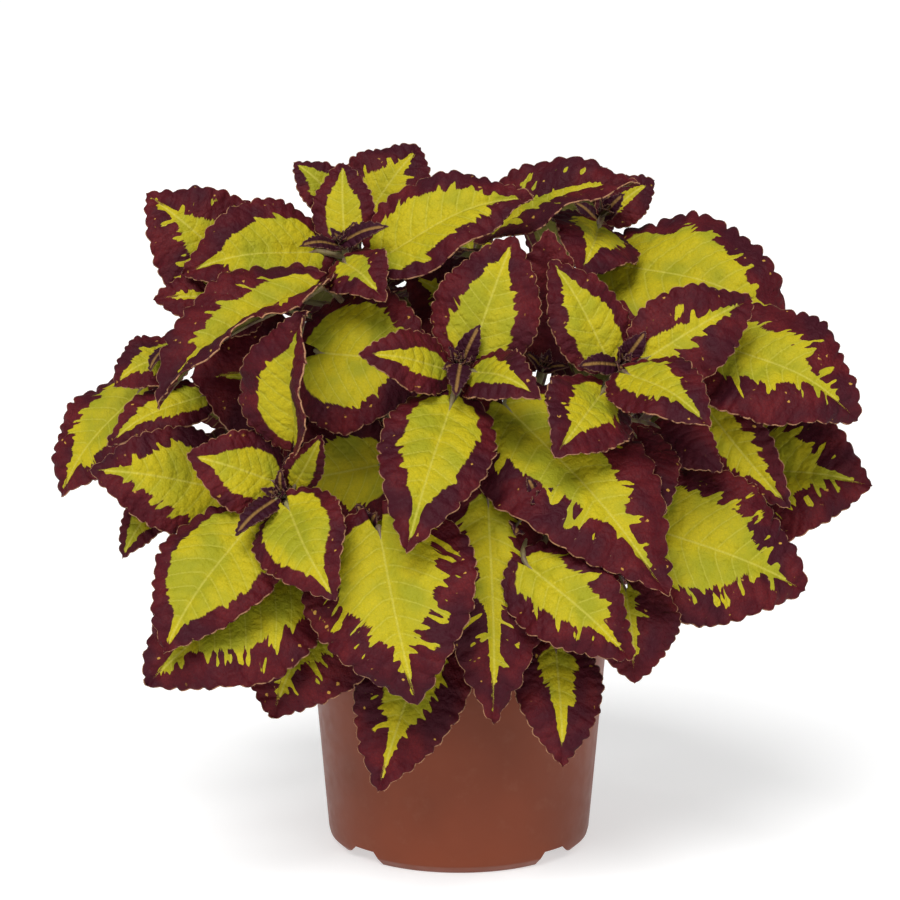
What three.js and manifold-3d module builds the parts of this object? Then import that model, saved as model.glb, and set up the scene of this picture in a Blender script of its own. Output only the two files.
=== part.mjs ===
// A bushy coleus in its nursery pot. Millimetres, +Z up, origin at the middle of the pot's underside.
// The pot, the compost and each leafy shoot are solids of their own. A shoot is one grown piece: its stem,
// its stalked leaves with their scalloped edges, and the small young leaves of its growing tip.

import * as THREE from 'three';
import { mergeVertices } from 'three/addons/utils/BufferGeometryUtils.js';
import Module from 'manifold-3d';

const wasm = await Module();
wasm.setup();

// ---------------------------------------------------------------- driving dimensions

const FIT_GAP = 0.3; // clearance between neighbouring solids

const POT_HEIGHT = 97;
const POT_WALL = 1.6;
const POT_FACETS = 32;
const POT_FOOT_RADIUS = 51; // flat underside
const POT_CHAMFER_RADIUS = 55;
const POT_CHAMFER_HEIGHT = 3.6;
const POT_BASE_RADIUS = 55.7; // bottom of the tapered wall
const POT_BASE_HEIGHT = 6.4;
const POT_NECK_RADIUS = 62.6; // top of the tapered wall, under the rim band
const POT_RIM_RADIUS = 65;
const POT_RIM_BAND = 11; // height of the rim band

const CHANNEL_OFFSET = 39.2; // two straight drainage channels under the base, front to back
const CHANNEL_ROOF_HALF = 3.75;
const CHANNEL_MOUTH_HALF = 7.85;
const CHANNEL_HEIGHT = 6.4;
const DRAIN_RADIUS = 3;
const DRAIN_OFFSETS = [-26, 0, 26]; // along each channel

const SOIL_LEVEL = 85;
const HOLE_DEPTH = 12; // how far a stem stands in the compost

const STEM_FOOT_HALF = 2.5; // squarish stems, half the width across the flats
const STEM_TIP_HALF = 1.3;
const STEM_STEPS = 6;

const PLANT_CORE = new THREE.Vector3(0, 10, 125); // leaves face away from this point
const LEAF_THICKNESS = 0.8;
const STALK_THICKNESS = 2.2;
const STALK_HALF = 1.1;
const BLADE_RISE = 0.5; // the outline grows with this power of the share of the blade from its base
const BLADE_TAPER = 1; // and shrinks with this power of the share that is left to its tip
const BLADE_FOLD = 0.26; // rise of the blade beside its midrib, as a share of the half width
const BLADE_CUP = 0.32; // fall of the blade towards its edge
const EDGE_WAVE = 0.03; // ripple of the edge, as a share of the blade width
const EDGE_WAVES = 2.5;
const BASE_SWEEP = 0.16; // heart-shaped base lobes, as a share of the blade width
const TOOTH_DEPTH = 0.055; // scallops, as a share of the blade width
const LEAF_GAP = 2; // least distance between two blades' middle surfaces

// ---------------------------------------------------------------- the shoots

// A leaf is [share of the way up the stem, base of the blade, tip of the blade, width, arch, roll, fold]. The
// arch is a share of the blade's length, the roll turns the face about the midrib, and the fold, which most
// leaves do without, lifts both halves of the blade about it, all in degrees. A pair is
// [share, heading, rise, blade length, width, stalk length], two leaves on opposite sides of the stem.
const SHOOTS = [
  {
    name: 'shoot_crown',
    foot: [-14, 4],
    tip: [-47, -20, 254],
    facing: [-0.15, -0.85, 0.55],
    leaves: [
      [0.97, [-47, -16, 258], [-48, 2, 288], 26, 0.08, 0],
      [0.97, [-60, -13, 252], [-112, -28, 244], 48, 0.12, 0, 12],
      [0.97, [-31, -26, 248], [31, -20, 272], 46, 0.12, -12, 12],
      [0.97, [-46, -32, 249], [-29, -62, 236], 28, 0.14, 0],
      [1.0, [-45, -22, 255], [-26, -34, 262], 9, 0.1, 0],
      [1.0, [-49, -22, 255], [-64, -38, 256], 8, 0.1, 0],
      [0.8, [-86, -6, 238], [-130, 2, 275], 51, 0.1, 0],
      [0.74, [-84, -18, 231], [-122, -34, 237], 34, 0.1, 0],
      [0.72, [-56, -42, 236], [-117, -70, 192], 50, 0.1, 30, 28],
      [0.7, [-56, -44, 214], [-8, -52, 206], 66, 0.1, 0],
    ],
    pairs: [],
  },
  {
    name: 'shoot_front',
    foot: [0, -24],
    tip: [0, -60, 210],
    facing: [0, -0.88, 0.45],
    leaves: [
      [0.97, [5, -58, 216], [22, -44, 261], 43, 0.06, 0],
      [0.97, [-6, -66, 210], [-39, -85, 218], 26, 0.1, 0],
      [0.97, [6, -66, 209], [31, -95, 202], 26, 0.16, 0],
      [0.95, [-3, -76, 200], [-20, -124, 150], 44, 0.1, 0],
      [1.0, [1, -60, 212], [8, -62, 227], 9, 0.1, 0],
      [1.0, [0, -64, 208], [-2, -82, 198], 9, 0.1, 0],
    ],
    pairs: [],
  },
  {
    name: 'shoot_right',
    foot: [18, -16],
    tip: [64, -52, 209],
    facing: [0.2, -0.85, 0.45],
    leaves: [
      [0.97, [59, -50, 212], [36, -40, 251], 33, 0.08, 0],
      [0.97, [73, -52, 211], [117, -32, 233], 38, 0.12, 0],
      [0.95, [56, -62, 200], [36, -98, 180], 38, 0.1, 0],
      [0.95, [67, -60, 202], [97, -92, 185], 34, 0.12, 0],
      [1.0, [62, -53, 210], [46, -66, 211], 9, 0.1, 0],
      [1.0, [65, -52, 211], [74, -54, 224], 9, 0.1, 0],
      [0.7, [18, -50, 194], [80, -104, 127], 64, 0.08, 0],
      [0.6, [75, -60, 146], [138, -64, 121], 68, 0.08, 0],
      [0.78, [100, -34, 190], [132, -50, 151], 28, 0.08, 35],
      [0.8, [80, -48, 184], [104, -60, 168], 24, 0.1, 0],
      [0.7, [70, -58, 182], [79, -78, 153], 26, 0.1, 0],
    ],
    pairs: [],
  },
  {
    name: 'shoot_left',
    foot: [-24, -20],
    tip: [-69, -78, 161],
    facing: [-0.25, -0.88, 0.4],
    leaves: [
      [0.97, [-73, -75, 167], [-106, -80, 178], 33, 0.12, 0],
      [0.93, [-82, -84, 151], [-113, -110, 106], 48, 0.1, 0],
      [0.95, [-65, -86, 157], [-45, -120, 127], 38, 0.14, 0],
      [0.97, [-64, -78, 166], [-53, -86, 187], 15, 0.1, 30],
      [1.0, [-68, -78, 164], [-63, -80, 184], 9, 0.08, 0],
      [1.0, [-72, -82, 158], [-86, -99, 147], 10, 0.1, 0],
      [0.9, [-63, -84, 187], [-59, -86, 235], 50, 0.06, -35, 30],
      [0.75, [-95, -52, 160], [-147, -60, 169], 44, 0.12, 0],
      [0.6, [-67, -82, 131], [-121, -100, 91], 65, 0.1, 0],
      [0.65, [-118, -42, 158], [-136, -50, 131], 20, 0.1, 0],
    ],
    pairs: [],
  },
  {
    name: 'shoot_crown_right',
    foot: [14, 14],
    tip: [61, 28, 264],
    facing: [0.25, -0.8, 0.55],
    leaves: [
      [0.97, [59, 20, 260], [49, -20, 242], 40, 0.12, 0],
      [0.97, [63, 31, 265], [84, 38, 279], 22, 0.1, 0],
      [0.85, [65, 20, 245], [141, -6, 215], 70, 0.16, 0],
      [1.0, [61, 28, 264], [70, 22, 274], 8, 0.1, 0],
      [1.0, [60, 28, 264], [50, 34, 272], 8, 0.1, 0],
    ],
    pairs: [],
  },
  {
    name: 'shoot_left_side',
    foot: [-26, 6],
    tip: [-113, -20, 210],
    facing: [-0.45, -0.75, 0.45],
    leaves: [
      [0.97, [-115, -22, 211], [-141, -28, 198], 29, 0.16, 0],
      [1.0, [-114, -22, 208], [-122, -40, 199], 9, 0.1, 0],
      [1.0, [-112, -18, 212], [-107, -10, 223], 9, 0.1, 0],
      [0.85, [-133, -6, 194], [-165, -20, 151], 44, 0.1, 0],
      [0.8, [-104, -30, 195], [-142, -43, 176], 26, 0.12, 0],
    ],
    pairs: [],
  },
  {
    name: 'shoot_right_side',
    foot: [26, -2],
    tip: [108, -8, 212],
    facing: [0.4, -0.8, 0.4],
    leaves: [
      [0.95, [106, -26, 213], [160, -42, 184], 60, 0.14, 0],
      [0.75, [116, -4, 160], [171, -20, 156], 66, 0.1, 0],
    ],
    pairs: [[1.0, 60, 60, 12, 7, 1]],
  },
  {
    name: 'shoot_front_low_left',
    foot: [-12, -32],
    tip: [-34, -84, 150],
    facing: [-0.15, -0.95, 0.25],
    leaves: [
      [0.85, [-31, -95, 151], [-16, -126, 90], 68, 0.08, 0],
      [0.7, [-54, -78, 120], [-73, -92, 76], 58, 0.1, 0],
      [0.45, [-12, -79, 106], [-32, -102, 49], 44, 0.06, 0],
    ],
    pairs: [[1.0, 20, 60, 13, 7, 1]],
  },
  {
    name: 'shoot_front_low_right',
    foot: [14, -32],
    tip: [30, -82, 160],
    facing: [0.15, -0.95, 0.25],
    leaves: [
      [0.9, [13, -90, 165], [15, -118, 81], 45, 0.06, 0],
      [0.85, [26, -92, 137], [66, -108, 103], 40, 0.14, 0],
      [0.7, [64, -80, 124], [67, -96, 90], 40, 0.1, 0],
      [0.5, [38, -76, 100], [40, -97, 58], 35, 0.06, 0],
    ],
    pairs: [[1.0, 70, 60, 13, 7, 1]],
  },
  {
    name: 'shoot_crown_middle',
    foot: [0, 10],
    tip: [8, 22, 258],
    facing: [0, -0.8, 0.6],
    leaves: [
      [0.93, [12, 8, 259], [75, 2, 279], 42, 0.1, -20, 20],
      [0.93, [-38, 16, 266], [-16, 30, 293], 42, 0.1, 0],
      [0.9, [-50, 14, 268], [-70, 22, 285], 22, 0.1, 0],
    ],
    pairs: [
      [0.9, 100, 20, 40, 30, 5],
      [1.0, 10, 60, 14, 7, 1],
    ],
  },
  {
    name: 'shoot_heart_left',
    foot: [-10, -10],
    tip: [-34, -30, 196],
    facing: [-0.1, -0.95, 0.3],
    leaves: [
      [0.8, [-26, -42, 178], [-52, -62, 122], 52, 0.08, 0],
      [0.8, [-22, -8, 190], [26, -6, 162], 52, 0.08, 0],
      [0.6, [-32, -30, 164], [-80, -36, 156], 50, 0.08, 0],
      [0.85, [-63, -18, 197], [-111, -28, 201], 68, 0.08, 0],
    ],
    pairs: [],
  },
  {
    name: 'shoot_heart_right',
    foot: [14, 0],
    tip: [34, -22, 204],
    facing: [0.1, -0.95, 0.3],
    leaves: [
      [0.85, [38, -30, 192], [56, -50, 140], 50, 0.08, 0],
      [0.6, [44, -10, 170], [104, -24, 146], 48, 0.08, 0],
      [0.85, [20, -16, 217], [-22, -16, 246], 48, 0.08, 0],
      [0.9, [33, -10, 207], [34, 0, 260], 36, 0.08, 0],
    ],
    pairs: [],
  },
  {
    name: 'shoot_back_crown_left',
    foot: [-14, 20],
    tip: [-48, 54, 244],
    leaves: [[0.85, [-50, 4, 237], [-84, 0, 230], 38, 0.1, 55]],
    pairs: [
      [0.8, 150, 5, 58, 42, 16],
      [0.9, 60, 20, 50, 36, 8],
      [1.0, 150, 60, 16, 9, 1],
    ],
  },
  {
    name: 'shoot_back_crown_right',
    foot: [14, 26],
    tip: [40, 66, 248],
    leaves: [],
    pairs: [
      [0.8, 20, 5, 58, 42, 16],
      [0.9, 110, 20, 52, 38, 8],
      [1.0, 20, 60, 16, 9, 1],
    ],
  },
  {
    name: 'shoot_back',
    foot: [2, 34],
    tip: [4, 92, 216],
    leaves: [],
    pairs: [
      [0.6, 20, 10, 72, 50, 24],
      [0.72, 100, 25, 58, 42, 18],
      [0.86, 20, 25, 52, 38, 10],
      [0.96, 110, 40, 36, 24, 4],
      [1.0, 20, 60, 14, 8, 1],
    ],
  },
  {
    name: 'shoot_back_left',
    foot: [-22, 28],
    tip: [-92, 66, 176],
    leaves: [],
    pairs: [
      [0.6, 130, 15, 68, 46, 24],
      [0.74, 40, 10, 62, 42, 18],
      [0.88, 130, 25, 50, 36, 10],
      [0.96, 40, 40, 34, 22, 4],
      [1.0, 130, 60, 13, 8, 1],
    ],
  },
  {
    name: 'shoot_back_right',
    foot: [24, 28],
    tip: [92, 68, 190],
    leaves: [],
    pairs: [
      [0.6, 60, 15, 68, 46, 24],
      [0.74, 150, 20, 60, 42, 18],
      [0.88, 60, 25, 50, 36, 10],
      [0.96, 150, 40, 34, 22, 4],
      [1.0, 60, 60, 13, 8, 1],
    ],
  },
  {
    name: 'shoot_back_low_left',
    foot: [-36, 16],
    tip: [-96, 40, 136],
    leaves: [
      [0.75, [-84, 16, 136], [-118, 6, 110], 46, 0.12, 0],
      [0.85, [-90, 18, 156], [-128, 10, 146], 42, 0.12, 0],
    ],
    pairs: [
      [0.7, 70, -10, 66, 48, 20],
      [0.86, 160, 10, 56, 40, 12],
      [0.96, 70, 30, 36, 26, 5],
      [1.0, 160, 60, 13, 8, 1],
    ],
  },
  {
    name: 'shoot_back_low_right',
    foot: [38, 14],
    tip: [98, 34, 140],
    leaves: [
      [0.75, [88, 14, 138], [122, 4, 112], 46, 0.12, 0],
      [0.85, [90, 18, 158], [132, 14, 146], 42, 0.12, 0],
    ],
    pairs: [
      [0.7, 110, 5, 60, 46, 20],
      [0.86, 50, 25, 52, 38, 12],
      [0.96, 110, 30, 36, 26, 5],
      [1.0, 20, 60, 13, 8, 1],
    ],
  },
  {
    name: 'shoot_back_low',
    foot: [4, 44],
    tip: [8, 104, 142],
    leaves: [],
    pairs: [
      [0.7, 0, -10, 70, 50, 22],
      [0.86, 90, 5, 58, 42, 12],
      [0.96, 0, 30, 38, 26, 5],
      [1.0, 90, 60, 13, 8, 1],
    ],
  },
];

// ---------------------------------------------------------------- small helpers

const vec = (point) => new THREE.Vector3(...point);
const rad = THREE.MathUtils.degToRad;

// The part of a direction that is square to an axis, as a unit vector.
function squareTo(direction, axis) {
  return direction.clone().addScaledVector(axis, -direction.dot(axis)).normalize();
}

// A solid from a list of points and a list of triangles.
function solidFrom(points, triangles) {
  const geometry = new THREE.BufferGeometry();
  const position = points.flatMap((point) => [point.x, point.y, point.z]);
  geometry.setAttribute('position', new THREE.Float32BufferAttribute(position, 3));
  geometry.setIndex(triangles.flat());
  return solidOf(geometry);
}

function solidOf(geometry) {
  geometry.deleteAttribute('normal');
  geometry.deleteAttribute('uv');
  const merged = mergeVertices(geometry, 1e-4);
  const vertProperties = new Float32Array(merged.attributes.position.array);
  const triVerts = new Uint32Array(merged.index.array);
  return new wasm.Manifold(new wasm.Mesh({ numProp: 3, vertProperties, triVerts }));
}

// The outer body alone: a hollow that fusing seals is filled, and a loose scrap is dropped.
function wholeOf(solid) {
  return solid.decompose().reduce((largest, piece) => (piece.volume() > largest.volume() ? piece : largest));
}

function geometryOf(solid) {
  const mesh = solid.getMesh();
  const geometry = new THREE.BufferGeometry();
  geometry.setAttribute('position', new THREE.BufferAttribute(new Float32Array(mesh.vertProperties), 3));
  geometry.setIndex(new THREE.BufferAttribute(new Uint32Array(mesh.triVerts), 1));
  geometry.computeVertexNormals();
  return geometry;
}

// ---------------------------------------------------------------- pot and compost

// The outer form of the pot, drawn in by an inset on every side but the open top.
function potBody(inset, top) {
  const profile = [
    [0, inset],
    [POT_FOOT_RADIUS - inset, inset],
    [POT_CHAMFER_RADIUS - inset, POT_CHAMFER_HEIGHT + inset],
    [POT_BASE_RADIUS - inset, POT_BASE_HEIGHT + inset],
    [POT_NECK_RADIUS - inset, POT_HEIGHT - POT_RIM_BAND],
    [POT_RIM_RADIUS - 0.4 - inset, POT_HEIGHT - POT_RIM_BAND + inset * 0.4 + 0.6],
    [POT_RIM_RADIUS - inset, top],
    [0, top],
  ];
  const turned = new THREE.LatheGeometry(
    profile.map(([radius, height]) => new THREE.Vector2(radius, height)),
    POT_FACETS,
  );
  turned.rotateX(Math.PI / 2);
  let body = solidOf(turned);
  for (const side of [-1, 1]) {
    body = body.subtract(channel(side * CHANNEL_OFFSET, inset));
  }
  return body;
}

// One drainage channel: a straight groove with sloping sides along the Y axis.
function channel(offset, inset) {
  const depth = 4 * POT_RIM_RADIUS;
  const mouth = CHANNEL_MOUTH_HALF + inset;
  const roof = CHANNEL_ROOF_HALF + inset;
  const section = new THREE.Shape([
    new THREE.Vector2(-mouth, -1),
    new THREE.Vector2(mouth, -1),
    new THREE.Vector2(mouth, 0),
    new THREE.Vector2(roof, CHANNEL_HEIGHT + inset),
    new THREE.Vector2(-roof, CHANNEL_HEIGHT + inset),
    new THREE.Vector2(-mouth, 0),
  ]);
  const groove = new THREE.ExtrudeGeometry(section, { depth, bevelEnabled: false });
  groove.rotateX(Math.PI / 2);
  groove.translate(offset, depth / 2, 0);
  return solidOf(groove);
}

function buildPot() {
  let pot = potBody(0, POT_HEIGHT).subtract(potBody(POT_WALL, POT_HEIGHT + 1));
  for (const side of [-1, 1]) {
    for (const along of DRAIN_OFFSETS) {
      const drain = new THREE.CylinderGeometry(DRAIN_RADIUS, DRAIN_RADIUS, 4 * POT_WALL, 10);
      drain.rotateX(Math.PI / 2);
      drain.translate(side * CHANNEL_OFFSET, along, CHANNEL_HEIGHT + POT_WALL / 2);
      pot = pot.subtract(solidOf(drain));
    }
  }
  return pot;
}

// The compost fills the pot up to its level, with a plain hole for each stem.
function buildCompost() {
  let compost = potBody(POT_WALL + FIT_GAP, SOIL_LEVEL);
  for (const shoot of SHOOTS) {
    const [x, y] = shoot.foot;
    const bottom = new THREE.Vector3(x, y, SOIL_LEVEL - HOLE_DEPTH - FIT_GAP);
    const top = new THREE.Vector3(x, y, SOIL_LEVEL + 1);
    compost = compost.subtract(squareRod([bottom, top], () => STEM_FOOT_HALF + FIT_GAP));
  }
  return compost;
}

// ---------------------------------------------------------------- stems

// A square rod through a list of points, with a half width for each share of its length.
function squareRod(path, halfWidth) {
  const corners = 4;
  const points = [];
  path.forEach((centre, step) => {
    const ahead = path[Math.min(step + 1, path.length - 1)];
    const behind = path[Math.max(step - 1, 0)];
    const along = ahead.clone().sub(behind).normalize();
    const across = squareTo(new THREE.Vector3(1, 0, 0), along);
    const deep = along.clone().cross(across);
    const reach = Math.SQRT2 * halfWidth(step / (path.length - 1));
    for (let corner = 0; corner < corners; corner += 1) {
      const angle = ((corner + 0.5) / corners) * 2 * Math.PI;
      const point = centre.clone().addScaledVector(across, reach * Math.cos(angle));
      points.push(point.addScaledVector(deep, reach * Math.sin(angle)));
    }
  });
  const triangles = [];
  const last = corners * (path.length - 1);
  for (let corner = 0; corner < corners; corner += 1) {
    const next = (corner + 1) % corners;
    for (let row = 0; row < last; row += corners) {
      triangles.push([row + corner, row + next, row + corners + next]);
      triangles.push([row + corner, row + corners + next, row + corners + corner]);
    }
    if (corner > 0 && corner < corners - 1) {
      triangles.push([0, next, corner]);
      triangles.push([last, last + corner, last + next]);
    }
  }
  return solidFrom(points, triangles);
}

// The stem's course: upright out of its hole, then in one easy bend to the growing tip.
function stemCurve(shoot) {
  const [x, y] = shoot.foot;
  const start = new THREE.Vector3(x, y, SOIL_LEVEL + 2);
  const tip = vec(shoot.tip);
  const middle = start.clone().lerp(tip, 0.3);
  middle.z = start.z + 0.62 * (tip.z - start.z);
  return new THREE.QuadraticBezierCurve3(start, middle, tip);
}

function buildStem(shoot) {
  const [x, y] = shoot.foot;
  const bottom = new THREE.Vector3(x, y, SOIL_LEVEL - HOLE_DEPTH);
  const path = [bottom, ...stemCurve(shoot).getPoints(STEM_STEPS)];
  return squareRod(path, (share) => THREE.MathUtils.lerp(STEM_FOOT_HALF, STEM_TIP_HALF, share));
}

// ---------------------------------------------------------------- the form of a leaf

// Half width of the blade at a share of its length, widest towards the base and drawn out to a point.
function bladeHalf(leaf, share) {
  const outline = (at) => Math.max(at, 0) ** BLADE_RISE * Math.max(1 - at, 0) ** BLADE_TAPER;
  const widest = BLADE_RISE / (BLADE_RISE + BLADE_TAPER);
  return (leaf.width / 2) * (outline(share) / outline(widest));
}

// A leaf's fixed directions: along its chord, across it, and the way that its upper face looks.
function setFrame(leaf) {
  const middle = leaf.base.clone().lerp(leaf.tip, 0.5);
  leaf.length = leaf.base.distanceTo(leaf.tip);
  leaf.chord = leaf.tip.clone().sub(leaf.base).normalize();
  leaf.face = squareTo(leaf.facing ?? middle.sub(PLANT_CORE), leaf.chord);
  leaf.face.applyAxisAngle(leaf.chord, rad(leaf.roll));
  leaf.side = leaf.chord.clone().cross(leaf.face);
  return leaf;
}

// The midrib at a share of the blade: its point and the directions along it and square to the blade there.
function midrib(leaf, share) {
  const bow = Math.PI * Math.max(share, 0) ** 1.25;
  const point = leaf.base.clone().addScaledVector(leaf.chord, leaf.length * share);
  point.addScaledVector(leaf.face, leaf.arch * leaf.length * Math.sin(bow));
  const along = leaf.chord.clone();
  along.addScaledVector(leaf.face, leaf.arch * Math.PI * 1.25 * Math.max(share, 0) ** 0.25 * Math.cos(bow));
  along.normalize();
  return { point, along, up: leaf.side.clone().cross(along) };
}

// A point of the blade: share runs from its base to its tip, across from -1 to 1, reach is the half width.
function bladePoint(leaf, share, across, reach) {
  const { point, along, up } = midrib(leaf, share);
  const spread = Math.abs(across);
  const ripple = Math.sin(2 * Math.PI * EDGE_WAVES * share + leaf.phase + (across > 0 ? 1.9 : 0));
  const curve = BLADE_FOLD * spread - BLADE_CUP * spread ** 2;
  const lift = reach * curve + EDGE_WAVE * leaf.width * ripple * spread ** 2;
  const turn = rad(leaf.fold) * Math.sign(across);
  const out = leaf.side.clone().multiplyScalar(Math.cos(turn)).addScaledVector(up, Math.sin(turn));
  up.multiplyScalar(Math.cos(turn)).addScaledVector(leaf.side, -Math.sin(turn));
  point.addScaledVector(out, reach * across);
  point.addScaledVector(up, lift);
  point.addScaledVector(along, -BASE_SWEEP * leaf.width * spread ** 2 * (1 - share) ** 4);
  return { point, up };
}

// ---------------------------------------------------------------- keeping leaves apart

// A coarse sheet over a blade, which stands for the leaf where leaves are kept apart. Between the midrib and
// the edge it lies halfway from the arched blade to its flat facets.
function sheetOf(leaf) {
  const rows = [0.05, 0.18, 0.34, 0.5, 0.66, 0.82, 0.92, 1];
  const columns = [-1, -0.5, 0, 0.5, 1];
  const spare = TOOTH_DEPTH * leaf.width;
  const points = [];
  const ups = [];
  for (const share of rows) {
    const row = columns.map((across) => bladePoint(leaf, share, across, bladeHalf(leaf, share) + spare));
    for (const column of [1, 3]) {
      const straight = row[column - 1].point.clone().lerp(row[column + 1].point, 0.5);
      row[column].point.lerp(straight, 0.5);
    }
    points.push(...row.map(({ point }) => point));
    ups.push(...row.map(({ up }) => up));
  }
  return gridSheet(points, ups, rows.length, columns.length);
}

function stalkSheet(leaf) {
  const points = [];
  const ups = [];
  for (const share of [0, 0.5, 1]) {
    for (const across of [-STALK_HALF, STALK_HALF]) {
      points.push(leaf.root.clone().lerp(leaf.base, share).addScaledVector(leaf.side, across));
      ups.push(leaf.face);
    }
  }
  return gridSheet(points, ups, 3, 2);
}

function stemSheets(shoot) {
  const path = stemCurve(shoot).getPoints(STEM_STEPS);
  const directions = [new THREE.Vector3(1, 0, 0), new THREE.Vector3(0, 1, 0)];
  return directions.map((direction, index) => {
    const points = path.flatMap((centre) => [
      centre.clone().addScaledVector(direction, -STEM_FOOT_HALF),
      centre.clone().addScaledVector(direction, STEM_FOOT_HALF),
    ]);
    return gridSheet(points, points.map(() => directions[1 - index]), path.length, 2);
  });
}

function gridSheet(points, ups, rows, columns) {
  const triangles = [];
  const edges = [];
  for (let row = 0; row < rows; row += 1) {
    for (let column = 0; column < columns; column += 1) {
      const here = row * columns + column;
      if (column + 1 < columns) edges.push([here, here + 1]);
      if (row + 1 < rows) edges.push([here, here + columns]);
      if (column + 1 < columns && row + 1 < rows) {
        edges.push([here, here + columns + 1]);
        triangles.push([here, here + 1, here + columns + 1]);
        triangles.push([here, here + columns + 1, here + columns]);
      }
    }
  }
  const box = new THREE.Box3().setFromPoints(points).expandByScalar(LEAF_GAP);
  const feelers = edges.map(([i, j]) => [points[i], points[j]]);
  points.forEach((point, i) => {
    const above = point.clone().addScaledVector(ups[i], LEAF_GAP);
    feelers.push([point.clone().addScaledVector(ups[i], -LEAF_GAP), above]);
  });
  return { points, triangles, feelers, box };
}

// Whether the line from one point to another passes through a triangle.
function pierces(from, to, a, b, c) {
  const ray = to.clone().sub(from);
  const side1 = b.clone().sub(a);
  const side2 = c.clone().sub(a);
  const normal = ray.clone().cross(side2);
  const scale = side1.dot(normal);
  if (Math.abs(scale) < 1e-9) return false;
  const start = from.clone().sub(a);
  const u = start.dot(normal) / scale;
  if (u < 0 || u > 1) return false;
  const turned = start.clone().cross(side1);
  const v = ray.dot(turned) / scale;
  if (v < 0 || u + v > 1) return false;
  const t = side2.dot(turned) / scale;
  return t >= 0 && t <= 1;
}

// Whether one sheet passes through another, or comes closer to it than the leaf gap.
function cutsThrough(sheet, other) {
  return sheet.feelers.some(([from, to]) =>
    other.triangles.some(([a, b, c]) => pierces(from, to, other.points[a], other.points[b], other.points[c])),
  );
}

function sheetsClash(first, second) {
  if (!first.box.intersectsBox(second.box)) return false;
  return cutsThrough(first, second) || cutsThrough(second, first);
}

// Whether a leaf would reach into the pot's wall or the compost.
function meetsPot(sheet) {
  return sheet.points.some((point) => {
    const radius = Math.hypot(point.x, point.y);
    const inside = radius < POT_NECK_RADIUS - POT_WALL - 2;
    const floor = inside ? SOIL_LEVEL + 2 : POT_HEIGHT + 2;
    return radius < POT_RIM_RADIUS + 2.5 && point.z < floor;
  });
}

// The ways in which a leaf may give way: moved out or in along its face, tipped at its base, rolled.
const BENDS = [];
for (const shift of [0, 4, -4, 8, -8, 13, -13, 19, -19, 26, -26]) {
  for (const lift of [0, 8, -8, 16, -16, 26, -26]) {
    for (const roll of [0, 14, -14]) {
      BENDS.push({ shift, lift, roll, cost: Math.abs(shift) / 4 + Math.abs(lift) / 8 + Math.abs(roll) / 10 });
    }
  }
}
BENDS.sort((first, second) => first.cost - second.cost);

function bent(leaf, bend) {
  const copy = { ...leaf, base: leaf.base.clone(), tip: leaf.tip.clone(), roll: leaf.roll + bend.roll };
  const swing = leaf.tip.clone().sub(leaf.base).applyAxisAngle(leaf.side, rad(bend.lift));
  copy.base.addScaledVector(leaf.face, bend.shift);
  copy.tip.copy(copy.base).add(swing);
  return setFrame(copy);
}

// Leaves are set one after another, and each takes the least bend that is clear of all set before it. One
// that no bend frees has no room to grow and is left out.
function settle(leaves) {
  const stems = SHOOTS.map(stemSheets);
  const set = [];
  for (const leaf of leaves) {
    let placed = null;
    for (const bend of BENDS) {
      const trial = bend.cost === 0 ? leaf : bent(leaf, bend);
      trial.sheet = sheetOf(trial);
      trial.stalk = stalkSheet(trial);
      const clear =
        !meetsPot(trial.sheet) &&
        stems.every(([wide, deep], shoot) => shoot === trial.shoot || clearOf(trial, wide, deep)) &&
        set.every((other) => leavesClear(trial, other));
      if (clear) {
        placed = trial;
        break;
      }
    }
    if (placed) set.push(placed);
  }
  return set;
}

function clearOf(leaf, ...sheets) {
  return sheets.every((sheet) => !sheetsClash(leaf.sheet, sheet) && !sheetsClash(leaf.stalk, sheet));
}

function leavesClear(leaf, other) {
  if (sheetsClash(leaf.sheet, other.sheet)) return false;
  if (leaf.shoot === other.shoot) return true;
  return (
    !sheetsClash(leaf.stalk, other.sheet) &&
    !sheetsClash(leaf.sheet, other.stalk) &&
    !sheetsClash(leaf.stalk, other.stalk)
  );
}

// ---------------------------------------------------------------- leaves

// The leaves of a shoot as they are listed: those placed one by one, then those in opposite pairs.
function leavesOf(shoot, index) {
  const stem = stemCurve(shoot);
  const leaves = shoot.leaves.map(([share, base, tip, width, arch, roll, fold = 0]) => ({
    root: stem.getPoint(share),
    base: vec(base),
    tip: vec(tip),
    width,
    arch,
    roll,
    fold,
    facing: shoot.facing && vec(shoot.facing),
  }));
  for (const [share, heading, rise, length, width, stalk] of shoot.pairs) {
    const root = stem.getPoint(share);
    const axis = stem.getTangent(share);
    const east = squareTo(new THREE.Vector3(1, 0, 0), axis);
    for (const turn of [0, 180]) {
      const out = east.clone().applyAxisAngle(axis, rad(heading + turn));
      out.multiplyScalar(Math.cos(rad(rise))).addScaledVector(axis, Math.sin(rad(rise)));
      const base = root.clone().addScaledVector(out, stalk);
      const tip = base.clone().addScaledVector(out, length);
      tip.z -= 0.12 * length;
      leaves.push({ root, base, tip, width, arch: 0.1, roll: 0, fold: 0 });
    }
  }
  leaves.forEach((leaf, count) => {
    leaf.shoot = index;
    leaf.phase = 2.4 * count + 1.1 * index;
    setFrame(leaf);
  });
  return leaves;
}

function teethFor(leaf) {
  if (leaf.length < 20) return 2;
  if (leaf.length < 34) return 3;
  return leaf.length < 60 ? 4 : 5;
}

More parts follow.
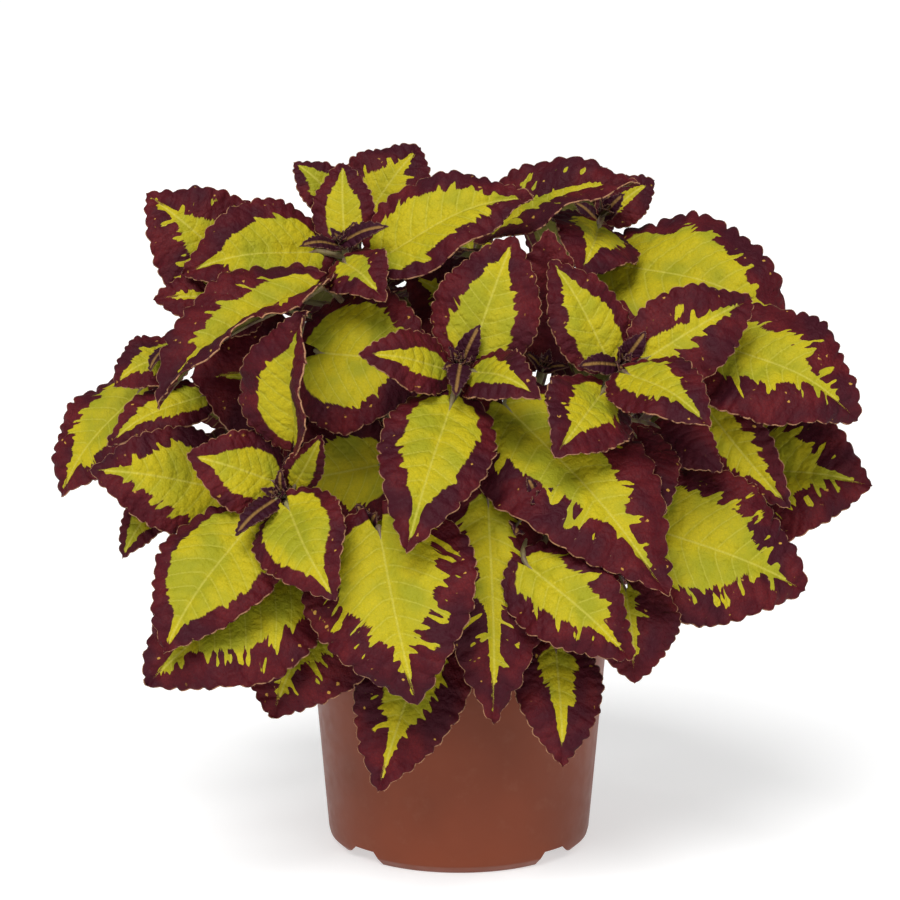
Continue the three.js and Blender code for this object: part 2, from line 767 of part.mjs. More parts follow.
// One leaf as a solid: a stalk that runs into a blade of even thickness with a scalloped edge. Both faces are
// split into the same triangles, between the midrib and the edge.
function buildLeaf(leaf) {
  const teeth = teethFor(leaf);
  const ribShares = leaf.length < 20 ? [0.5] : [0.3, 0.62];
  const stalkWay = leaf.base.clone().sub(leaf.root).normalize();
  const stalkUp = squareTo(leaf.side.clone().cross(stalkWay), stalkWay);
  const start = midrib(leaf, 0);

  const rows = [];
  const addRow = (at, point, up, thickness) => rows.push({ at, point, up, thickness }) - 1;
  const rib = [...ribShares, 1].map((share) => {
    const { point, up } = midrib(leaf, share);
    return addRow(share, point, up, share < 1 ? LEAF_THICKNESS * 1.4 : LEAF_THICKNESS);
  });

  const edges = [-1, 1].map((hand) => {
    const aside = leaf.side.clone().multiplyScalar(hand * STALK_HALF);
    const edge = [
      addRow(-1, leaf.root.clone().add(aside), stalkUp, STALK_THICKNESS),
      addRow(0, leaf.base.clone().add(aside), start.up, STALK_THICKNESS * 0.7),
    ];
    for (let step = 1; step < 2 * teeth; step += 1) {
      const share = (step / (2 * teeth)) ** 1.1;
      const tooth = TOOTH_DEPTH * leaf.width * (step % 2 ? 0.6 : -0.6);
      const { point, up } = bladePoint(leaf, share, hand, bladeHalf(leaf, share) + tooth);
      edge.push(addRow(share, point, up, LEAF_THICKNESS));
    }
    return [...edge, rib[rib.length - 1]];
  });

  const [[rootLeft, baseLeft], [rootRight, baseRight]] = edges;
  const upper = [
    [rootLeft, rootRight, baseRight],
    [rootLeft, baseRight, baseLeft],
    [baseLeft, baseRight, rib[0]],
  ];
  edges.forEach((edge, side) => {
    const triangles = stitch(rows, rib, edge.slice(1));
    triangles.forEach(([a, b, c]) => upper.push(side === 1 ? [a, b, c] : [a, c, b]));
  });
  return thicken(rows, upper, [...edges[0].slice(0, -1), ...edges[1].slice().reverse()]);
}

// Triangles between the midrib and one edge, which meet at the tip.
function stitch(rows, rib, edge) {
  const triangles = [];
  let i = 0;
  let j = 0;
  while (i < rib.length - 1 || j < edge.length - 1) {
    const nextRib = i < rib.length - 1 ? rows[rib[i + 1]].at : Infinity;
    const nextEdge = j < edge.length - 1 ? rows[edge[j + 1]].at : Infinity;
    if (nextEdge <= nextRib) {
      if (rib[i] !== edge[j + 1]) triangles.push([rib[i], edge[j], edge[j + 1]]);
      j += 1;
    } else {
      if (rib[i + 1] !== edge[j]) triangles.push([rib[i], edge[j], rib[i + 1]]);
      i += 1;
    }
  }
  return triangles;
}

// The closed solid of a sheet: its upper face, the same face below, and the rim between them.
function thicken(rows, upper, outline) {
  const count = rows.length;
  const points = rows.map((row) => row.point.clone().addScaledVector(row.up, row.thickness / 2));
  rows.forEach((row) => points.push(row.point.clone().addScaledVector(row.up, -row.thickness / 2)));
  const triangles = [...upper];
  upper.forEach(([a, b, c]) => triangles.push([a + count, c + count, b + count]));
  outline.forEach((here, step) => {
    const next = outline[(step + 1) % outline.length];
    triangles.push([here, next, next + count]);
    triangles.push([here, next + count, here + count]);
  });
  return solidFrom(points, triangles);
}

// ---------------------------------------------------------------- the whole plant

const POT_MATERIAL = new THREE.MeshStandardMaterial({ color: 0x7d4430, roughness: 0.45 });
const COMPOST_MATERIAL = new THREE.MeshStandardMaterial({ color: 0x2b1f17, roughness: 0.95 });
const LEAF_MATERIAL = new THREE.MeshStandardMaterial({ color: 0x8a3a30, roughness: 0.7 });

function addMesh(group, name, solid, material) {
  const mesh = new THREE.Mesh(geometryOf(solid), material);
  mesh.name = name;
  group.add(mesh);
}

const coleus = new THREE.Group();
addMesh(coleus, 'pot', buildPot(), POT_MATERIAL);
addMesh(coleus, 'compost', buildCompost(), COMPOST_MATERIAL);

const settled = settle(SHOOTS.flatMap(leavesOf));
SHOOTS.forEach((shoot, index) => {
  let solid = buildStem(shoot);
  for (const leaf of settled.filter((one) => one.shoot === index)) {
    solid = solid.add(buildLeaf(leaf));
  }
  addMesh(coleus, shoot.name, wholeOf(solid), LEAF_MATERIAL);
});

export default coleus;
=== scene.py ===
"""A bushy coleus in its nursery pot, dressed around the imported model.

Every leaf, stem and stalk of a shoot is made in one fine mesh, which stands for that shoot's plain solid.
The table of shoots and the way the leaves settle clear of each other are those of the plain model, in
millimetres; meshes are written in metres.
"""

import math

import bmesh
import bpy
import numpy as np
from mathutils import Matrix, Vector


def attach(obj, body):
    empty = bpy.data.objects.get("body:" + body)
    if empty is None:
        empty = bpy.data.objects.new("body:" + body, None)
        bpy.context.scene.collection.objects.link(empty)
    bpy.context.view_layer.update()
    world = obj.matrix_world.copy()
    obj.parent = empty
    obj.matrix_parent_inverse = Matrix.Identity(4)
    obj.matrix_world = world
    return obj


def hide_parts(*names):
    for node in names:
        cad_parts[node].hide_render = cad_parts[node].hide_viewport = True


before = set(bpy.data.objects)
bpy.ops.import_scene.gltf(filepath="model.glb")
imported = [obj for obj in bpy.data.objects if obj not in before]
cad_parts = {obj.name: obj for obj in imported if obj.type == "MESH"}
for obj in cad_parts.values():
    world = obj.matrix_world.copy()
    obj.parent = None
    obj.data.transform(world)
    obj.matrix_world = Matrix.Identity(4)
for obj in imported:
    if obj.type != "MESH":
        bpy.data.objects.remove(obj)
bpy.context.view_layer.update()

MM = 0.001

# ---------------- sizes shared with the plain model (mm)

POT_HEIGHT = 97
POT_WALL = 1.6
POT_FOOT_RADIUS = 51
POT_CHAMFER_RADIUS = 55
POT_CHAMFER_HEIGHT = 3.6
POT_BASE_RADIUS = 55.7
POT_BASE_HEIGHT = 6.4
POT_NECK_RADIUS = 62.6
POT_RIM_RADIUS = 65
POT_RIM_BAND = 11

CHANNEL_OFFSET = 39.2
CHANNEL_ROOF_HALF = 3.75
CHANNEL_MOUTH_HALF = 7.85
CHANNEL_HEIGHT = 6.4
DRAIN_RADIUS = 3
DRAIN_OFFSETS = (-26, 0, 26)

SOIL_LEVEL = 85
HOLE_DEPTH = 12
STEM_FOOT_HALF = 2.5
STEM_TIP_HALF = 1.3
STEM_STEPS = 6

PLANT_CORE = np.array((0.0, 10.0, 125.0))
STALK_HALF = 1.1
BLADE_RISE = 0.5
BLADE_TAPER = 1
BLADE_FOLD = 0.26
BLADE_CUP = 0.32
EDGE_WAVE = 0.03
EDGE_WAVES = 2.5
BASE_SWEEP = 0.16
TOOTH_DEPTH = 0.055
LEAF_GAP = 2

# A shoot is one leafy stem: where it leaves the compost, its growing tip, and the way that its leaves
# look. Without that way, each looks out from the plant's core. A leaf is (share of the way up the stem,
# base of the blade, tip of the blade, width, arch, roll, fold), and a row that ends early goes on as the
# usual form. The arch is a share of the blade's length, the roll turns the face about the midrib, and the
# fold lifts both halves of the blade about it, in degrees. A pair is (share, heading, rise, blade length,
# width, stalk length), two leaves on opposite sides of the stem. A margin, for a leaf's place in the
# list, is how far the maroon reaches in, as a share of the half width, and how torn its inner border is.
USUAL_FORM = (0.1, 0, 0)
USUAL_MARGIN = (0.45, 0.5)


def leafy_stem(name, foot, tip, facing=None, leaves=(), pairs=(), margins=None):
    stem = {"name": f"shoot_{name}", "foot": foot, "tip": tip, "facing": facing}
    return {**stem, "leaves": leaves, "pairs": pairs, "margins": margins or {}}


SHOOTS = [
    leafy_stem("crown", (-14, 4), (-47, -20, 254), (-0.15, -0.85, 0.55), leaves=[
        (0.97, (-47, -16, 258), (-48, 2, 288), 26, 0.08),
        (0.97, (-60, -13, 252), (-112, -28, 244), 48, 0.12, 0, 12),
        (0.97, (-31, -26, 248), (31, -20, 272), 46, 0.12, -12, 12),
        (0.97, (-46, -32, 249), (-29, -62, 236), 28, 0.14),
        (1, (-45, -22, 255), (-26, -34, 262), 9),
        (1, (-49, -22, 255), (-64, -38, 256), 8),
        (0.8, (-86, -6, 238), (-130, 2, 275), 51),
        (0.74, (-84, -18, 231), (-122, -34, 237), 34),
        (0.72, (-56, -42, 236), (-117, -70, 192), 50, 0.1, 30, 28),
        (0.7, (-56, -44, 214), (-8, -52, 206), 66),
    ], margins={
        0: (0.5, 0.25), 1: (0.4, 0.35), 2: (0.36, 0.5), 3: (0.6, 0.4), 6: (0.45, 1.0),
        7: (0.8, 1.0), 8: (0.5, 0.5), 9: (0.3, 0.4),
    }),
    leafy_stem("front", (0, -24), (0, -60, 210), (0, -0.88, 0.45), leaves=[
        (0.97, (5, -58, 216), (22, -44, 261), 43, 0.06),
        (0.97, (-6, -66, 210), (-39, -85, 218), 26),
        (0.97, (6, -66, 209), (31, -95, 202), 26, 0.16),
        (0.95, (-3, -76, 200), (-20, -124, 150), 44),
        (1, (1, -60, 212), (8, -62, 227), 9),
        (1, (0, -64, 208), (-2, -82, 198), 9),
    ], margins={0: (0.46, 0.3), 1: (0.62, 0.25), 2: (0.54, 0.25), 3: (0.4, 0.3)}),
    leafy_stem("right", (18, -16), (64, -52, 209), (0.2, -0.85, 0.45), leaves=[
        (0.97, (59, -50, 212), (36, -40, 251), 33, 0.08),
        (0.97, (73, -52, 211), (117, -32, 233), 38, 0.12),
        (0.95, (56, -62, 200), (36, -98, 180), 38),
        (0.95, (67, -60, 202), (97, -92, 185), 34, 0.12),
        (1, (62, -53, 210), (46, -66, 211), 9),
        (1, (65, -52, 211), (74, -54, 224), 9),
        (0.7, (18, -50, 194), (80, -104, 127), 64, 0.08),
        (0.6, (75, -60, 146), (138, -64, 121), 68, 0.08),
        (0.78, (100, -34, 190), (132, -50, 151), 28, 0.08, 35),
        (0.8, (80, -48, 184), (104, -60, 168), 24),
        (0.7, (70, -58, 182), (79, -78, 153), 26),
    ], margins={
        0: (0.45, 0.3), 1: (0.75, 0.7), 2: (0.5, 0.4), 3: (0.5, 0.4), 6: (0.46, 0.75),
        7: (0.36, 0.9), 8: (0.5, 0.5), 9: (5.0, 0.5), 10: (5.0, 0.5),
    }),
    leafy_stem("left", (-24, -20), (-69, -78, 161), (-0.25, -0.88, 0.4), leaves=[
        (0.97, (-73, -75, 167), (-106, -80, 178), 33, 0.12),
        (0.93, (-82, -84, 151), (-113, -110, 106), 48),
        (0.95, (-65, -86, 157), (-45, -120, 127), 38, 0.14),
        (0.97, (-64, -78, 166), (-53, -86, 187), 15, 0.1, 30),
        (1, (-68, -78, 164), (-63, -80, 184), 9, 0.08),
        (1, (-72, -82, 158), (-86, -99, 147), 10),
        (0.9, (-63, -84, 187), (-59, -86, 235), 50, 0.06, -35, 30),
        (0.75, (-95, -52, 160), (-147, -60, 169), 44, 0.12),
        (0.6, (-67, -82, 131), (-121, -100, 91), 65),
        (0.65, (-118, -42, 158), (-136, -50, 131), 20),
    ], margins={
        0: (0.42, 0.3), 1: (0.28, 0.3), 2: (0.32, 0.25), 6: (0.4, 0.25), 7: (0.42, 0.5),
        8: (0.36, 1.0),
    }),
    leafy_stem("crown_right", (14, 14), (61, 28, 264), (0.25, -0.8, 0.55), leaves=[
        (0.97, (59, 20, 260), (49, -20, 242), 40, 0.12),
        (0.97, (63, 31, 265), (84, 38, 279), 22),
        (0.85, (65, 20, 245), (141, -6, 215), 70, 0.16),
        (1, (61, 28, 264), (70, 22, 274), 8),
        (1, (60, 28, 264), (50, 34, 272), 8),
    ], margins={0: (0.52, 0.4), 1: (0.9, 0.5), 2: (0.36, 0.6)}),
    leafy_stem("left_side", (-26, 6), (-113, -20, 210), (-0.45, -0.75, 0.45), leaves=[
        (0.97, (-115, -22, 211), (-141, -28, 198), 29, 0.16),
        (1, (-114, -22, 208), (-122, -40, 199), 9),
        (1, (-112, -18, 212), (-107, -10, 223), 9),
        (0.85, (-133, -6, 194), (-165, -20, 151), 44),
        (0.8, (-104, -30, 195), (-142, -43, 176), 26, 0.12),
    ], margins={0: (0.55, 0.5), 3: (0.4, 0.6), 4: (0.5, 0.5)}),
    leafy_stem("right_side", (26, -2), (108, -8, 212), (0.4, -0.8, 0.4), leaves=[
        (0.95, (106, -26, 213), (160, -42, 184), 60, 0.14),
        (0.75, (116, -4, 160), (171, -20, 156), 66),
    ], pairs=[(1, 60, 60, 12, 7, 1)], margins={0: (0.5, 0.9), 1: (0.42, 0.9)}),
    leafy_stem("front_low_left", (-12, -32), (-34, -84, 150), (-0.15, -0.95, 0.25), leaves=[
        (0.85, (-31, -95, 151), (-16, -126, 90), 68, 0.08),
        (0.7, (-54, -78, 120), (-73, -92, 76), 58),
        (0.45, (-12, -79, 106), (-32, -102, 49), 44, 0.06),
    ], pairs=[(1, 20, 60, 13, 7, 1)], margins={0: (0.38, 0.95), 1: (0.5, 0.8), 2: (0.55, 0.6)}),
    leafy_stem("front_low_right", (14, -32), (30, -82, 160), (0.15, -0.95, 0.25), leaves=[
        (0.9, (13, -90, 165), (15, -118, 81), 45, 0.06),
        (0.85, (26, -92, 137), (66, -108, 103), 40, 0.14),
        (0.7, (64, -80, 124), (67, -96, 90), 40),
        (0.5, (38, -76, 100), (40, -97, 58), 35, 0.06),
    ], pairs=[(1, 70, 60, 13, 7, 1)], margins={
        0: (0.6, 1.0), 1: (0.46, 0.8), 2: (0.85, 0.8), 3: (0.7, 0.3),
    }),
    leafy_stem("crown_middle", (0, 10), (8, 22, 258), (0, -0.8, 0.6), leaves=[
        (0.93, (12, 8, 259), (75, 2, 279), 42, 0.1, -20, 20),
        (0.93, (-38, 16, 266), (-16, 30, 293), 42),
        (0.9, (-50, 14, 268), (-70, 22, 285), 22),
    ], pairs=[(0.9, 100, 20, 40, 30, 5), (1, 10, 60, 14, 7, 1)], margins={0: (0.7, 1.0), 1: (0.5, 0.6)}),
    leafy_stem("heart_left", (-10, -10), (-34, -30, 196), (-0.1, -0.95, 0.3), leaves=[
        (0.8, (-26, -42, 178), (-52, -62, 122), 52, 0.08),
        (0.8, (-22, -8, 190), (26, -6, 162), 52, 0.08),
        (0.6, (-32, -30, 164), (-80, -36, 156), 50, 0.08),
        (0.85, (-63, -18, 197), (-111, -28, 201), 68, 0.08),
    ], margins={3: (0.9, 0.5)}),
    leafy_stem("heart_right", (14, 0), (34, -22, 204), (0.1, -0.95, 0.3), leaves=[
        (0.85, (38, -30, 192), (56, -50, 140), 50, 0.08),
        (0.6, (44, -10, 170), (104, -24, 146), 48, 0.08),
        (0.85, (20, -16, 217), (-22, -16, 246), 48, 0.08),
        (0.9, (33, -10, 207), (34, 0, 260), 36, 0.08),
    ], margins={3: (5.0, 0.5)}),
    leafy_stem("back_crown_left", (-14, 20), (-48, 54, 244), leaves=[
        (0.85, (-50, 4, 237), (-84, 0, 230), 38, 0.1, 55),
    ], pairs=[
        (0.8, 150, 5, 58, 42, 16), (0.9, 60, 20, 50, 36, 8), (1, 150, 60, 16, 9, 1),
    ], margins={0: (0.5, 0.5)}),
    leafy_stem("back_crown_right", (14, 26), (40, 66, 248), pairs=[
        (0.8, 20, 5, 58, 42, 16), (0.9, 110, 20, 52, 38, 8), (1, 20, 60, 16, 9, 1),
    ]),
    leafy_stem("back", (2, 34), (4, 92, 216), pairs=[
        (0.6, 20, 10, 72, 50, 24), (0.72, 100, 25, 58, 42, 18), (0.86, 20, 25, 52, 38, 10),
        (0.96, 110, 40, 36, 24, 4), (1, 20, 60, 14, 8, 1),
    ]),
    leafy_stem("back_left", (-22, 28), (-92, 66, 176), pairs=[
        (0.6, 130, 15, 68, 46, 24), (0.74, 40, 10, 62, 42, 18), (0.88, 130, 25, 50, 36, 10),
        (0.96, 40, 40, 34, 22, 4), (1, 130, 60, 13, 8, 1),
    ]),
    leafy_stem("back_right", (24, 28), (92, 68, 190), pairs=[
        (0.6, 60, 15, 68, 46, 24), (0.74, 150, 20, 60, 42, 18), (0.88, 60, 25, 50, 36, 10),
        (0.96, 150, 40, 34, 22, 4), (1, 60, 60, 13, 8, 1),
    ]),
    leafy_stem("back_low_left", (-36, 16), (-96, 40, 136), leaves=[
        (0.75, (-84, 16, 136), (-118, 6, 110), 46, 0.12),
        (0.85, (-90, 18, 156), (-128, 10, 146), 42, 0.12),
    ], pairs=[
        (0.7, 70, -10, 66, 48, 20), (0.86, 160, 10, 56, 40, 12), (0.96, 70, 30, 36, 26, 5),
        (1, 160, 60, 13, 8, 1),
    ]),
    leafy_stem("back_low_right", (38, 14), (98, 34, 140), leaves=[
        (0.75, (88, 14, 138), (122, 4, 112), 46, 0.12),
        (0.85, (90, 18, 158), (132, 14, 146), 42, 0.12),
    ], pairs=[
        (0.7, 110, 5, 60, 46, 20), (0.86, 50, 25, 52, 38, 12), (0.96, 110, 30, 36, 26, 5),
        (1, 20, 60, 13, 8, 1),
    ]),
    leafy_stem("back_low", (4, 44), (8, 104, 142), pairs=[
        (0.7, 0, -10, 70, 50, 22), (0.86, 90, 5, 58, 42, 12), (0.96, 0, 30, 38, 26, 5),
        (1, 90, 60, 13, 8, 1),
    ]),
]

# ---------------- vectors


def unit(vector):
    return vector / np.linalg.norm(vector)


def square_to(direction, axis):
    """The part of a direction that is square to an axis, as a unit vector."""
    return unit(direction - axis * (direction @ axis))


def turned(vector, axis, degrees):
    """A vector turned about a unit axis."""
    angle = math.radians(degrees)
    sideways = np.cross(axis, vector)
    along = axis * (axis @ vector)
    return along + (vector - along) * math.cos(angle) + sideways * math.sin(angle)


# ---------------- the form of a leaf


def blade_outline(share):
    return share**BLADE_RISE * (1 - share) ** BLADE_TAPER


def blade_half(width, share):
    """Half width of the blade, widest towards its base and drawn out to a point."""
    widest = BLADE_RISE / (BLADE_RISE + BLADE_TAPER)
    return (width / 2) * blade_outline(np.clip(share, 0.0, 1.0)) / blade_outline(widest)


def set_frame(leaf):
    """A leaf's fixed directions: along its chord, across it, and the way that its upper face looks."""
    chord = leaf["tip"] - leaf["base"]
    leaf["length"] = np.linalg.norm(chord)
    leaf["chord"] = unit(chord)
    outward = leaf["facing"]
    if outward is None:
        outward = (leaf["base"] + leaf["tip"]) / 2 - PLANT_CORE
    face = turned(square_to(outward, leaf["chord"]), leaf["chord"], leaf["roll"])
    leaf["face"] = face
    leaf["side"] = np.cross(leaf["chord"], face)
    return leaf


def midrib(leaf, share):
    """Points of the midrib, and the directions along it and square to the blade there."""
    share = np.asarray(share, float)[..., None]
    bow = np.pi * np.maximum(share, 0) ** 1.25
    rise = leaf["arch"] * leaf["length"] * np.sin(bow)
    point = leaf["base"] + leaf["chord"] * leaf["length"] * share + leaf["face"] * rise
    lean = leaf["arch"] * np.pi * 1.25 * np.maximum(share, 0) ** 0.25 * np.cos(bow)
    along = leaf["chord"] + leaf["face"] * lean
    along = along / np.linalg.norm(along, axis=-1, keepdims=True)
    return point, along, np.cross(leaf["side"], along)


def blade_points(leaf, share, across, reach):
    """Points of the blade's middle surface, and there the directions square to it and out across it."""
    point, along, up = midrib(leaf, share)
    spread = np.abs(across)
    ripple = np.sin(2 * np.pi * EDGE_WAVES * share + leaf["phase"] + np.where(across > 0, 1.9, 0.0))
    lift = reach * (BLADE_FOLD * spread - BLADE_CUP * spread**2)
    lift = lift + EDGE_WAVE * leaf["width"] * ripple * spread**2
    sweep = -BASE_SWEEP * leaf["width"] * spread**2 * (1 - share) ** 4
    turn = (math.radians(leaf["fold"]) * np.sign(across))[..., None]
    out = leaf["side"] * np.cos(turn) + up * np.sin(turn)
    up = up * np.cos(turn) - leaf["side"] * np.sin(turn)
    point = point + out * (reach * across)[..., None] + along * sweep[..., None]
    return point + up * lift[..., None], up, out


# ---------------- keeping leaves apart

SHEET_ROWS = np.array((0.05, 0.18, 0.34, 0.5, 0.66, 0.82, 0.92, 1.0))
SHEET_COLUMNS = np.array((-1.0, -0.5, 0.0, 0.5, 1.0))


def grid_links(rows, columns):
    """The edges and triangles of a grid of points."""
    here = np.arange(rows * columns).reshape(rows, columns)
    edges = [
        np.stack((here[:, :-1].ravel(), here[:, 1:].ravel()), 1),
        np.stack((here[:-1].ravel(), here[1:].ravel()), 1),
        np.stack((here[:-1, :-1].ravel(), here[1:, 1:].ravel()), 1),
    ]
    low, right, far, up = here[:-1, :-1], here[:-1, 1:], here[1:, 1:], here[1:, :-1]
    triangles = [
        np.stack((low.ravel(), right.ravel(), far.ravel()), 1),
        np.stack((low.ravel(), far.ravel(), up.ravel()), 1),
    ]
    return np.concatenate(edges), np.concatenate(triangles)


class Sheet:
    """A coarse sheet: its triangles, and feelers along its edges and to a leaf gap above and below."""

    def __init__(self, points, ups, rows, columns):
        edges, triangles = grid_links(rows, columns)
        self.points = points
        self.corners = points[triangles]
        starts = np.concatenate((points[edges[:, 0]], points - ups * LEAF_GAP))
        ends = np.concatenate((points[edges[:, 1]], points + ups * LEAF_GAP))
        self.feelers = np.stack((starts, ends), 1)
        self.low = points.min(0) - LEAF_GAP
        self.high = points.max(0) + LEAF_GAP


def sheet_of(leaf):
    share, across = np.meshgrid(SHEET_ROWS, SHEET_COLUMNS, indexing="ij")
    spare = TOOTH_DEPTH * leaf["width"]
    points, ups, _ = blade_points(leaf, share, across, blade_half(leaf["width"], share) + spare)
    for column in (1, 3):
        straight = (points[:, column - 1] + points[:, column + 1]) / 2
        points[:, column] = (points[:, column] + straight) / 2
    return Sheet(points.reshape(-1, 3), ups.reshape(-1, 3), len(SHEET_ROWS), len(SHEET_COLUMNS))


def stalk_sheet(leaf):
    points = []
    for share in (0.0, 0.5, 1.0):
        centre = leaf["root"] + (leaf["base"] - leaf["root"]) * share
        points += [centre - leaf["side"] * STALK_HALF, centre + leaf["side"] * STALK_HALF]
    return Sheet(np.array(points), np.tile(leaf["face"], (6, 1)), 3, 2)


def stem_point(shoot, share):
    start, middle, tip = stem_controls(shoot)
    return start * (1 - share) ** 2 + middle * 2 * share * (1 - share) + tip * share**2


def stem_controls(shoot):
    """The stem's course: upright out of its hole, then in one easy bend to the growing tip."""
    start = np.array((*shoot["foot"], SOIL_LEVEL + 2), float)
    tip = np.array(shoot["tip"], float)
    middle = start + (tip - start) * 0.3
    middle[2] = start[2] + 0.62 * (tip[2] - start[2])
    return start, middle, tip


def stem_tangent(shoot, share):
    start, middle, tip = stem_controls(shoot)
    return unit((middle - start) * (1 - share) + (tip - middle) * share)


def stem_sheets(shoot):
    path = np.array([stem_point(shoot, step / STEM_STEPS) for step in range(STEM_STEPS + 1)])
    directions = np.eye(3)[:2]
    sheets = []
    for index, direction in enumerate(directions):
        points = np.stack((path - direction * STEM_FOOT_HALF, path + direction * STEM_FOOT_HALF), 1)
        ups = np.tile(directions[1 - index], (2 * len(path), 1))
        sheets.append(Sheet(points.reshape(-1, 3), ups, len(path), 2))
    return sheets


def any_pierce(feelers, corners):
    """Whether any feeler passes through any triangle."""
    if not len(feelers) or not len(corners):
        return False
    start = feelers[:, None, 0]
    ray = feelers[:, None, 1] - start
    first = corners[None, :, 0]
    side1 = corners[None, :, 1] - first
    side2 = corners[None, :, 2] - first
    normal = np.cross(ray, side2)
    scale = (side1 * normal).sum(-1)
    scale = np.where(np.abs(scale) < 1e-9, np.inf, scale)
    offset = start - first
    u = (offset * normal).sum(-1) / scale
    turn = np.cross(offset, np.broadcast_to(side1, offset.shape))
    v = (ray * turn).sum(-1) / scale
    t = (side2 * turn).sum(-1) / scale
    flat = np.isinf(scale)
    hit = (u >= 0) & (u <= 1) & (v >= 0) & (u + v <= 1) & (t >= 0) & (t <= 1) & ~flat
    return bool(hit.any())


def within(spans, low, high):
    """Those of some feelers or triangles whose own box meets a box."""
    return spans[((spans.min(1) <= high) & (spans.max(1) >= low)).all(1)]


def sheets_clash(sheet, others):
    near = [one for one in others if (one.low <= sheet.high).all() and (one.high >= sheet.low).all()]
    if not near:
        return False
    low, high = sheet.low, sheet.high
    corners = within(np.concatenate([one.corners for one in near]), low, high)
    if any_pierce(sheet.feelers, corners):
        return True
    feelers = within(np.concatenate([one.feelers for one in near]), low, high)
    return any_pierce(feelers, sheet.corners)


def meets_pot(sheet):
    """Whether a leaf would reach into the pot's wall or the compost."""
    radius = np.hypot(sheet.points[:, 0], sheet.points[:, 1])
    inside = radius < POT_NECK_RADIUS - POT_WALL - 2
    floor = np.where(inside, SOIL_LEVEL + 2, POT_HEIGHT + 2)
    return bool(((radius < POT_RIM_RADIUS + 2.5) & (sheet.points[:, 2] < floor)).any())


def list_bends():
    """The ways in which a leaf may give way: moved along its face, tipped at its base, rolled."""
    bends = []
    for shift in (0, 4, -4, 8, -8, 13, -13, 19, -19, 26, -26):
        for lift in (0, 8, -8, 16, -16, 26, -26):
            for roll in (0, 14, -14):
                cost = abs(shift) / 4 + abs(lift) / 8 + abs(roll) / 10
                bends.append((cost, shift, lift, roll))
    return sorted(bends, key=lambda bend: bend[0])


def bent(leaf, shift, lift, roll):
    copy = dict(leaf)
    swing = turned(leaf["tip"] - leaf["base"], leaf["side"], lift)
    copy["roll"] = leaf["roll"] + roll
    copy["base"] = leaf["base"] + leaf["face"] * shift
    copy["tip"] = copy["base"] + swing
    return set_frame(copy)


def settle(leaves):
    """Sets leaves one after another, each in the least bend that is clear of all before it."""
    stems = [stem_sheets(shoot) for shoot in SHOOTS]
    bends = list_bends()
    settled = []
    for leaf in leaves:
        own = leaf["shoot"]
        others = [other for other in settled if other["shoot"] != own]
        foreign = [sheet for index, pair in enumerate(stems) if index != own for sheet in pair]
        foreign += [other["stalk"] for other in others]
        blades = [other["sheet"] for other in settled]
        far_blades = [other["sheet"] for other in others]
        for cost, shift, lift, roll in bends:
            trial = leaf if cost == 0 else bent(leaf, shift, lift, roll)
            trial["sheet"] = sheet_of(trial)
            if meets_pot(trial["sheet"]) or sheets_clash(trial["sheet"], blades + foreign):
                continue
            trial["stalk"] = stalk_sheet(trial)
            if sheets_clash(trial["stalk"], far_blades + foreign):
                continue
            settled.append(trial)
            break
    return settled


def leaves_of(index, shoot):
    """The leaves of a shoot as they are listed: those placed one by one, then those in opposite pairs."""
    facing = np.array(shoot["facing"], float) if shoot["facing"] else None
    leaves = []
    for row in shoot["leaves"]:
        share, base, tip, width, arch, roll, fold = (*row, *USUAL_FORM[len(row) - 4 :])
        root = stem_point(shoot, share)
        leaf = {"root": root, "base": np.array(base, float), "tip": np.array(tip, float)}
        leaf.update(width=width, arch=arch, roll=roll, fold=fold, facing=facing)
        leaves.append(leaf)
    for share, heading, rise, length, width, stalk in shoot["pairs"]:
        root = stem_point(shoot, share)
        axis = stem_tangent(shoot, share)
        east = square_to(np.array((1.0, 0.0, 0.0)), axis)
        for turn in (0, 180):
            out = turned(east, axis, heading + turn)
            out = out * math.cos(math.radians(rise)) + axis * math.sin(math.radians(rise))
            base = root + out * stalk
            tip = base + out * length
            tip[2] -= 0.12 * length
            leaf = {"root": root, "base": base, "tip": tip}
            leaf.update(width=width, arch=0.1, roll=0, fold=0, facing=None)
            leaves.append(leaf)
    for count, leaf in enumerate(leaves):
        band, tear = shoot["margins"].get(count, USUAL_MARGIN)
        leaf.update(shoot=index, phase=2.4 * count + 1.1 * index, band=band, tear=tear)
        set_frame(leaf)
    return leaves


# ---------------- fine leaves

HALF_COLUMNS = np.array((0.1, 0.22, 0.38, 0.54, 0.7, 0.84, 0.94, 1))
COLUMNS = np.concatenate((-HALF_COLUMNS[::-1], (0,), HALF_COLUMNS))
UPPER, UNDERSIDE, STEM, HAIR = range(4)
BLADE_THICKNESS = 0.5
RIB_GROOVE = 0.9
HAIR_LENGTH = (0.35, 0.8)
HAIR_RADIUS = 0.035

# A small leaf, and one of a shoot on the far side, has fewer rows for each lobe of its edge. Leaves below
# the young widths have the dark purple of growing tips.
SMALL_LEAF = 17
LOBE_ROWS = 6
PLAIN_LOBE_ROWS = 4
ROW_LIMITS = (20, 112)
YOUNG_WIDTHS = (10.5, 15)

# Each is for a leaf of no length, and how much more for each millimetre of it.
LOBE_SPACING = (1.7, 0.066)
LOBE_DEPTH = (0.45, 0.024)
VEIN_COUNT = (5, 0.07)

STEM_CORNERS = 16
STALK_CORNERS = 8
HAIRS_PER_MM = 2.0

# The young leaves of a growing tip, pair above pair: length, width, rise, heading and margin.
TIP_PAIRS = (
    (11, 5.4, 36, 20, 0.7),
    (8.5, 4.2, 52, 110, 2.0),
    (6, 3.2, 66, 20, 2.0),
    (4, 2.3, 78, 110, 2.0),
)


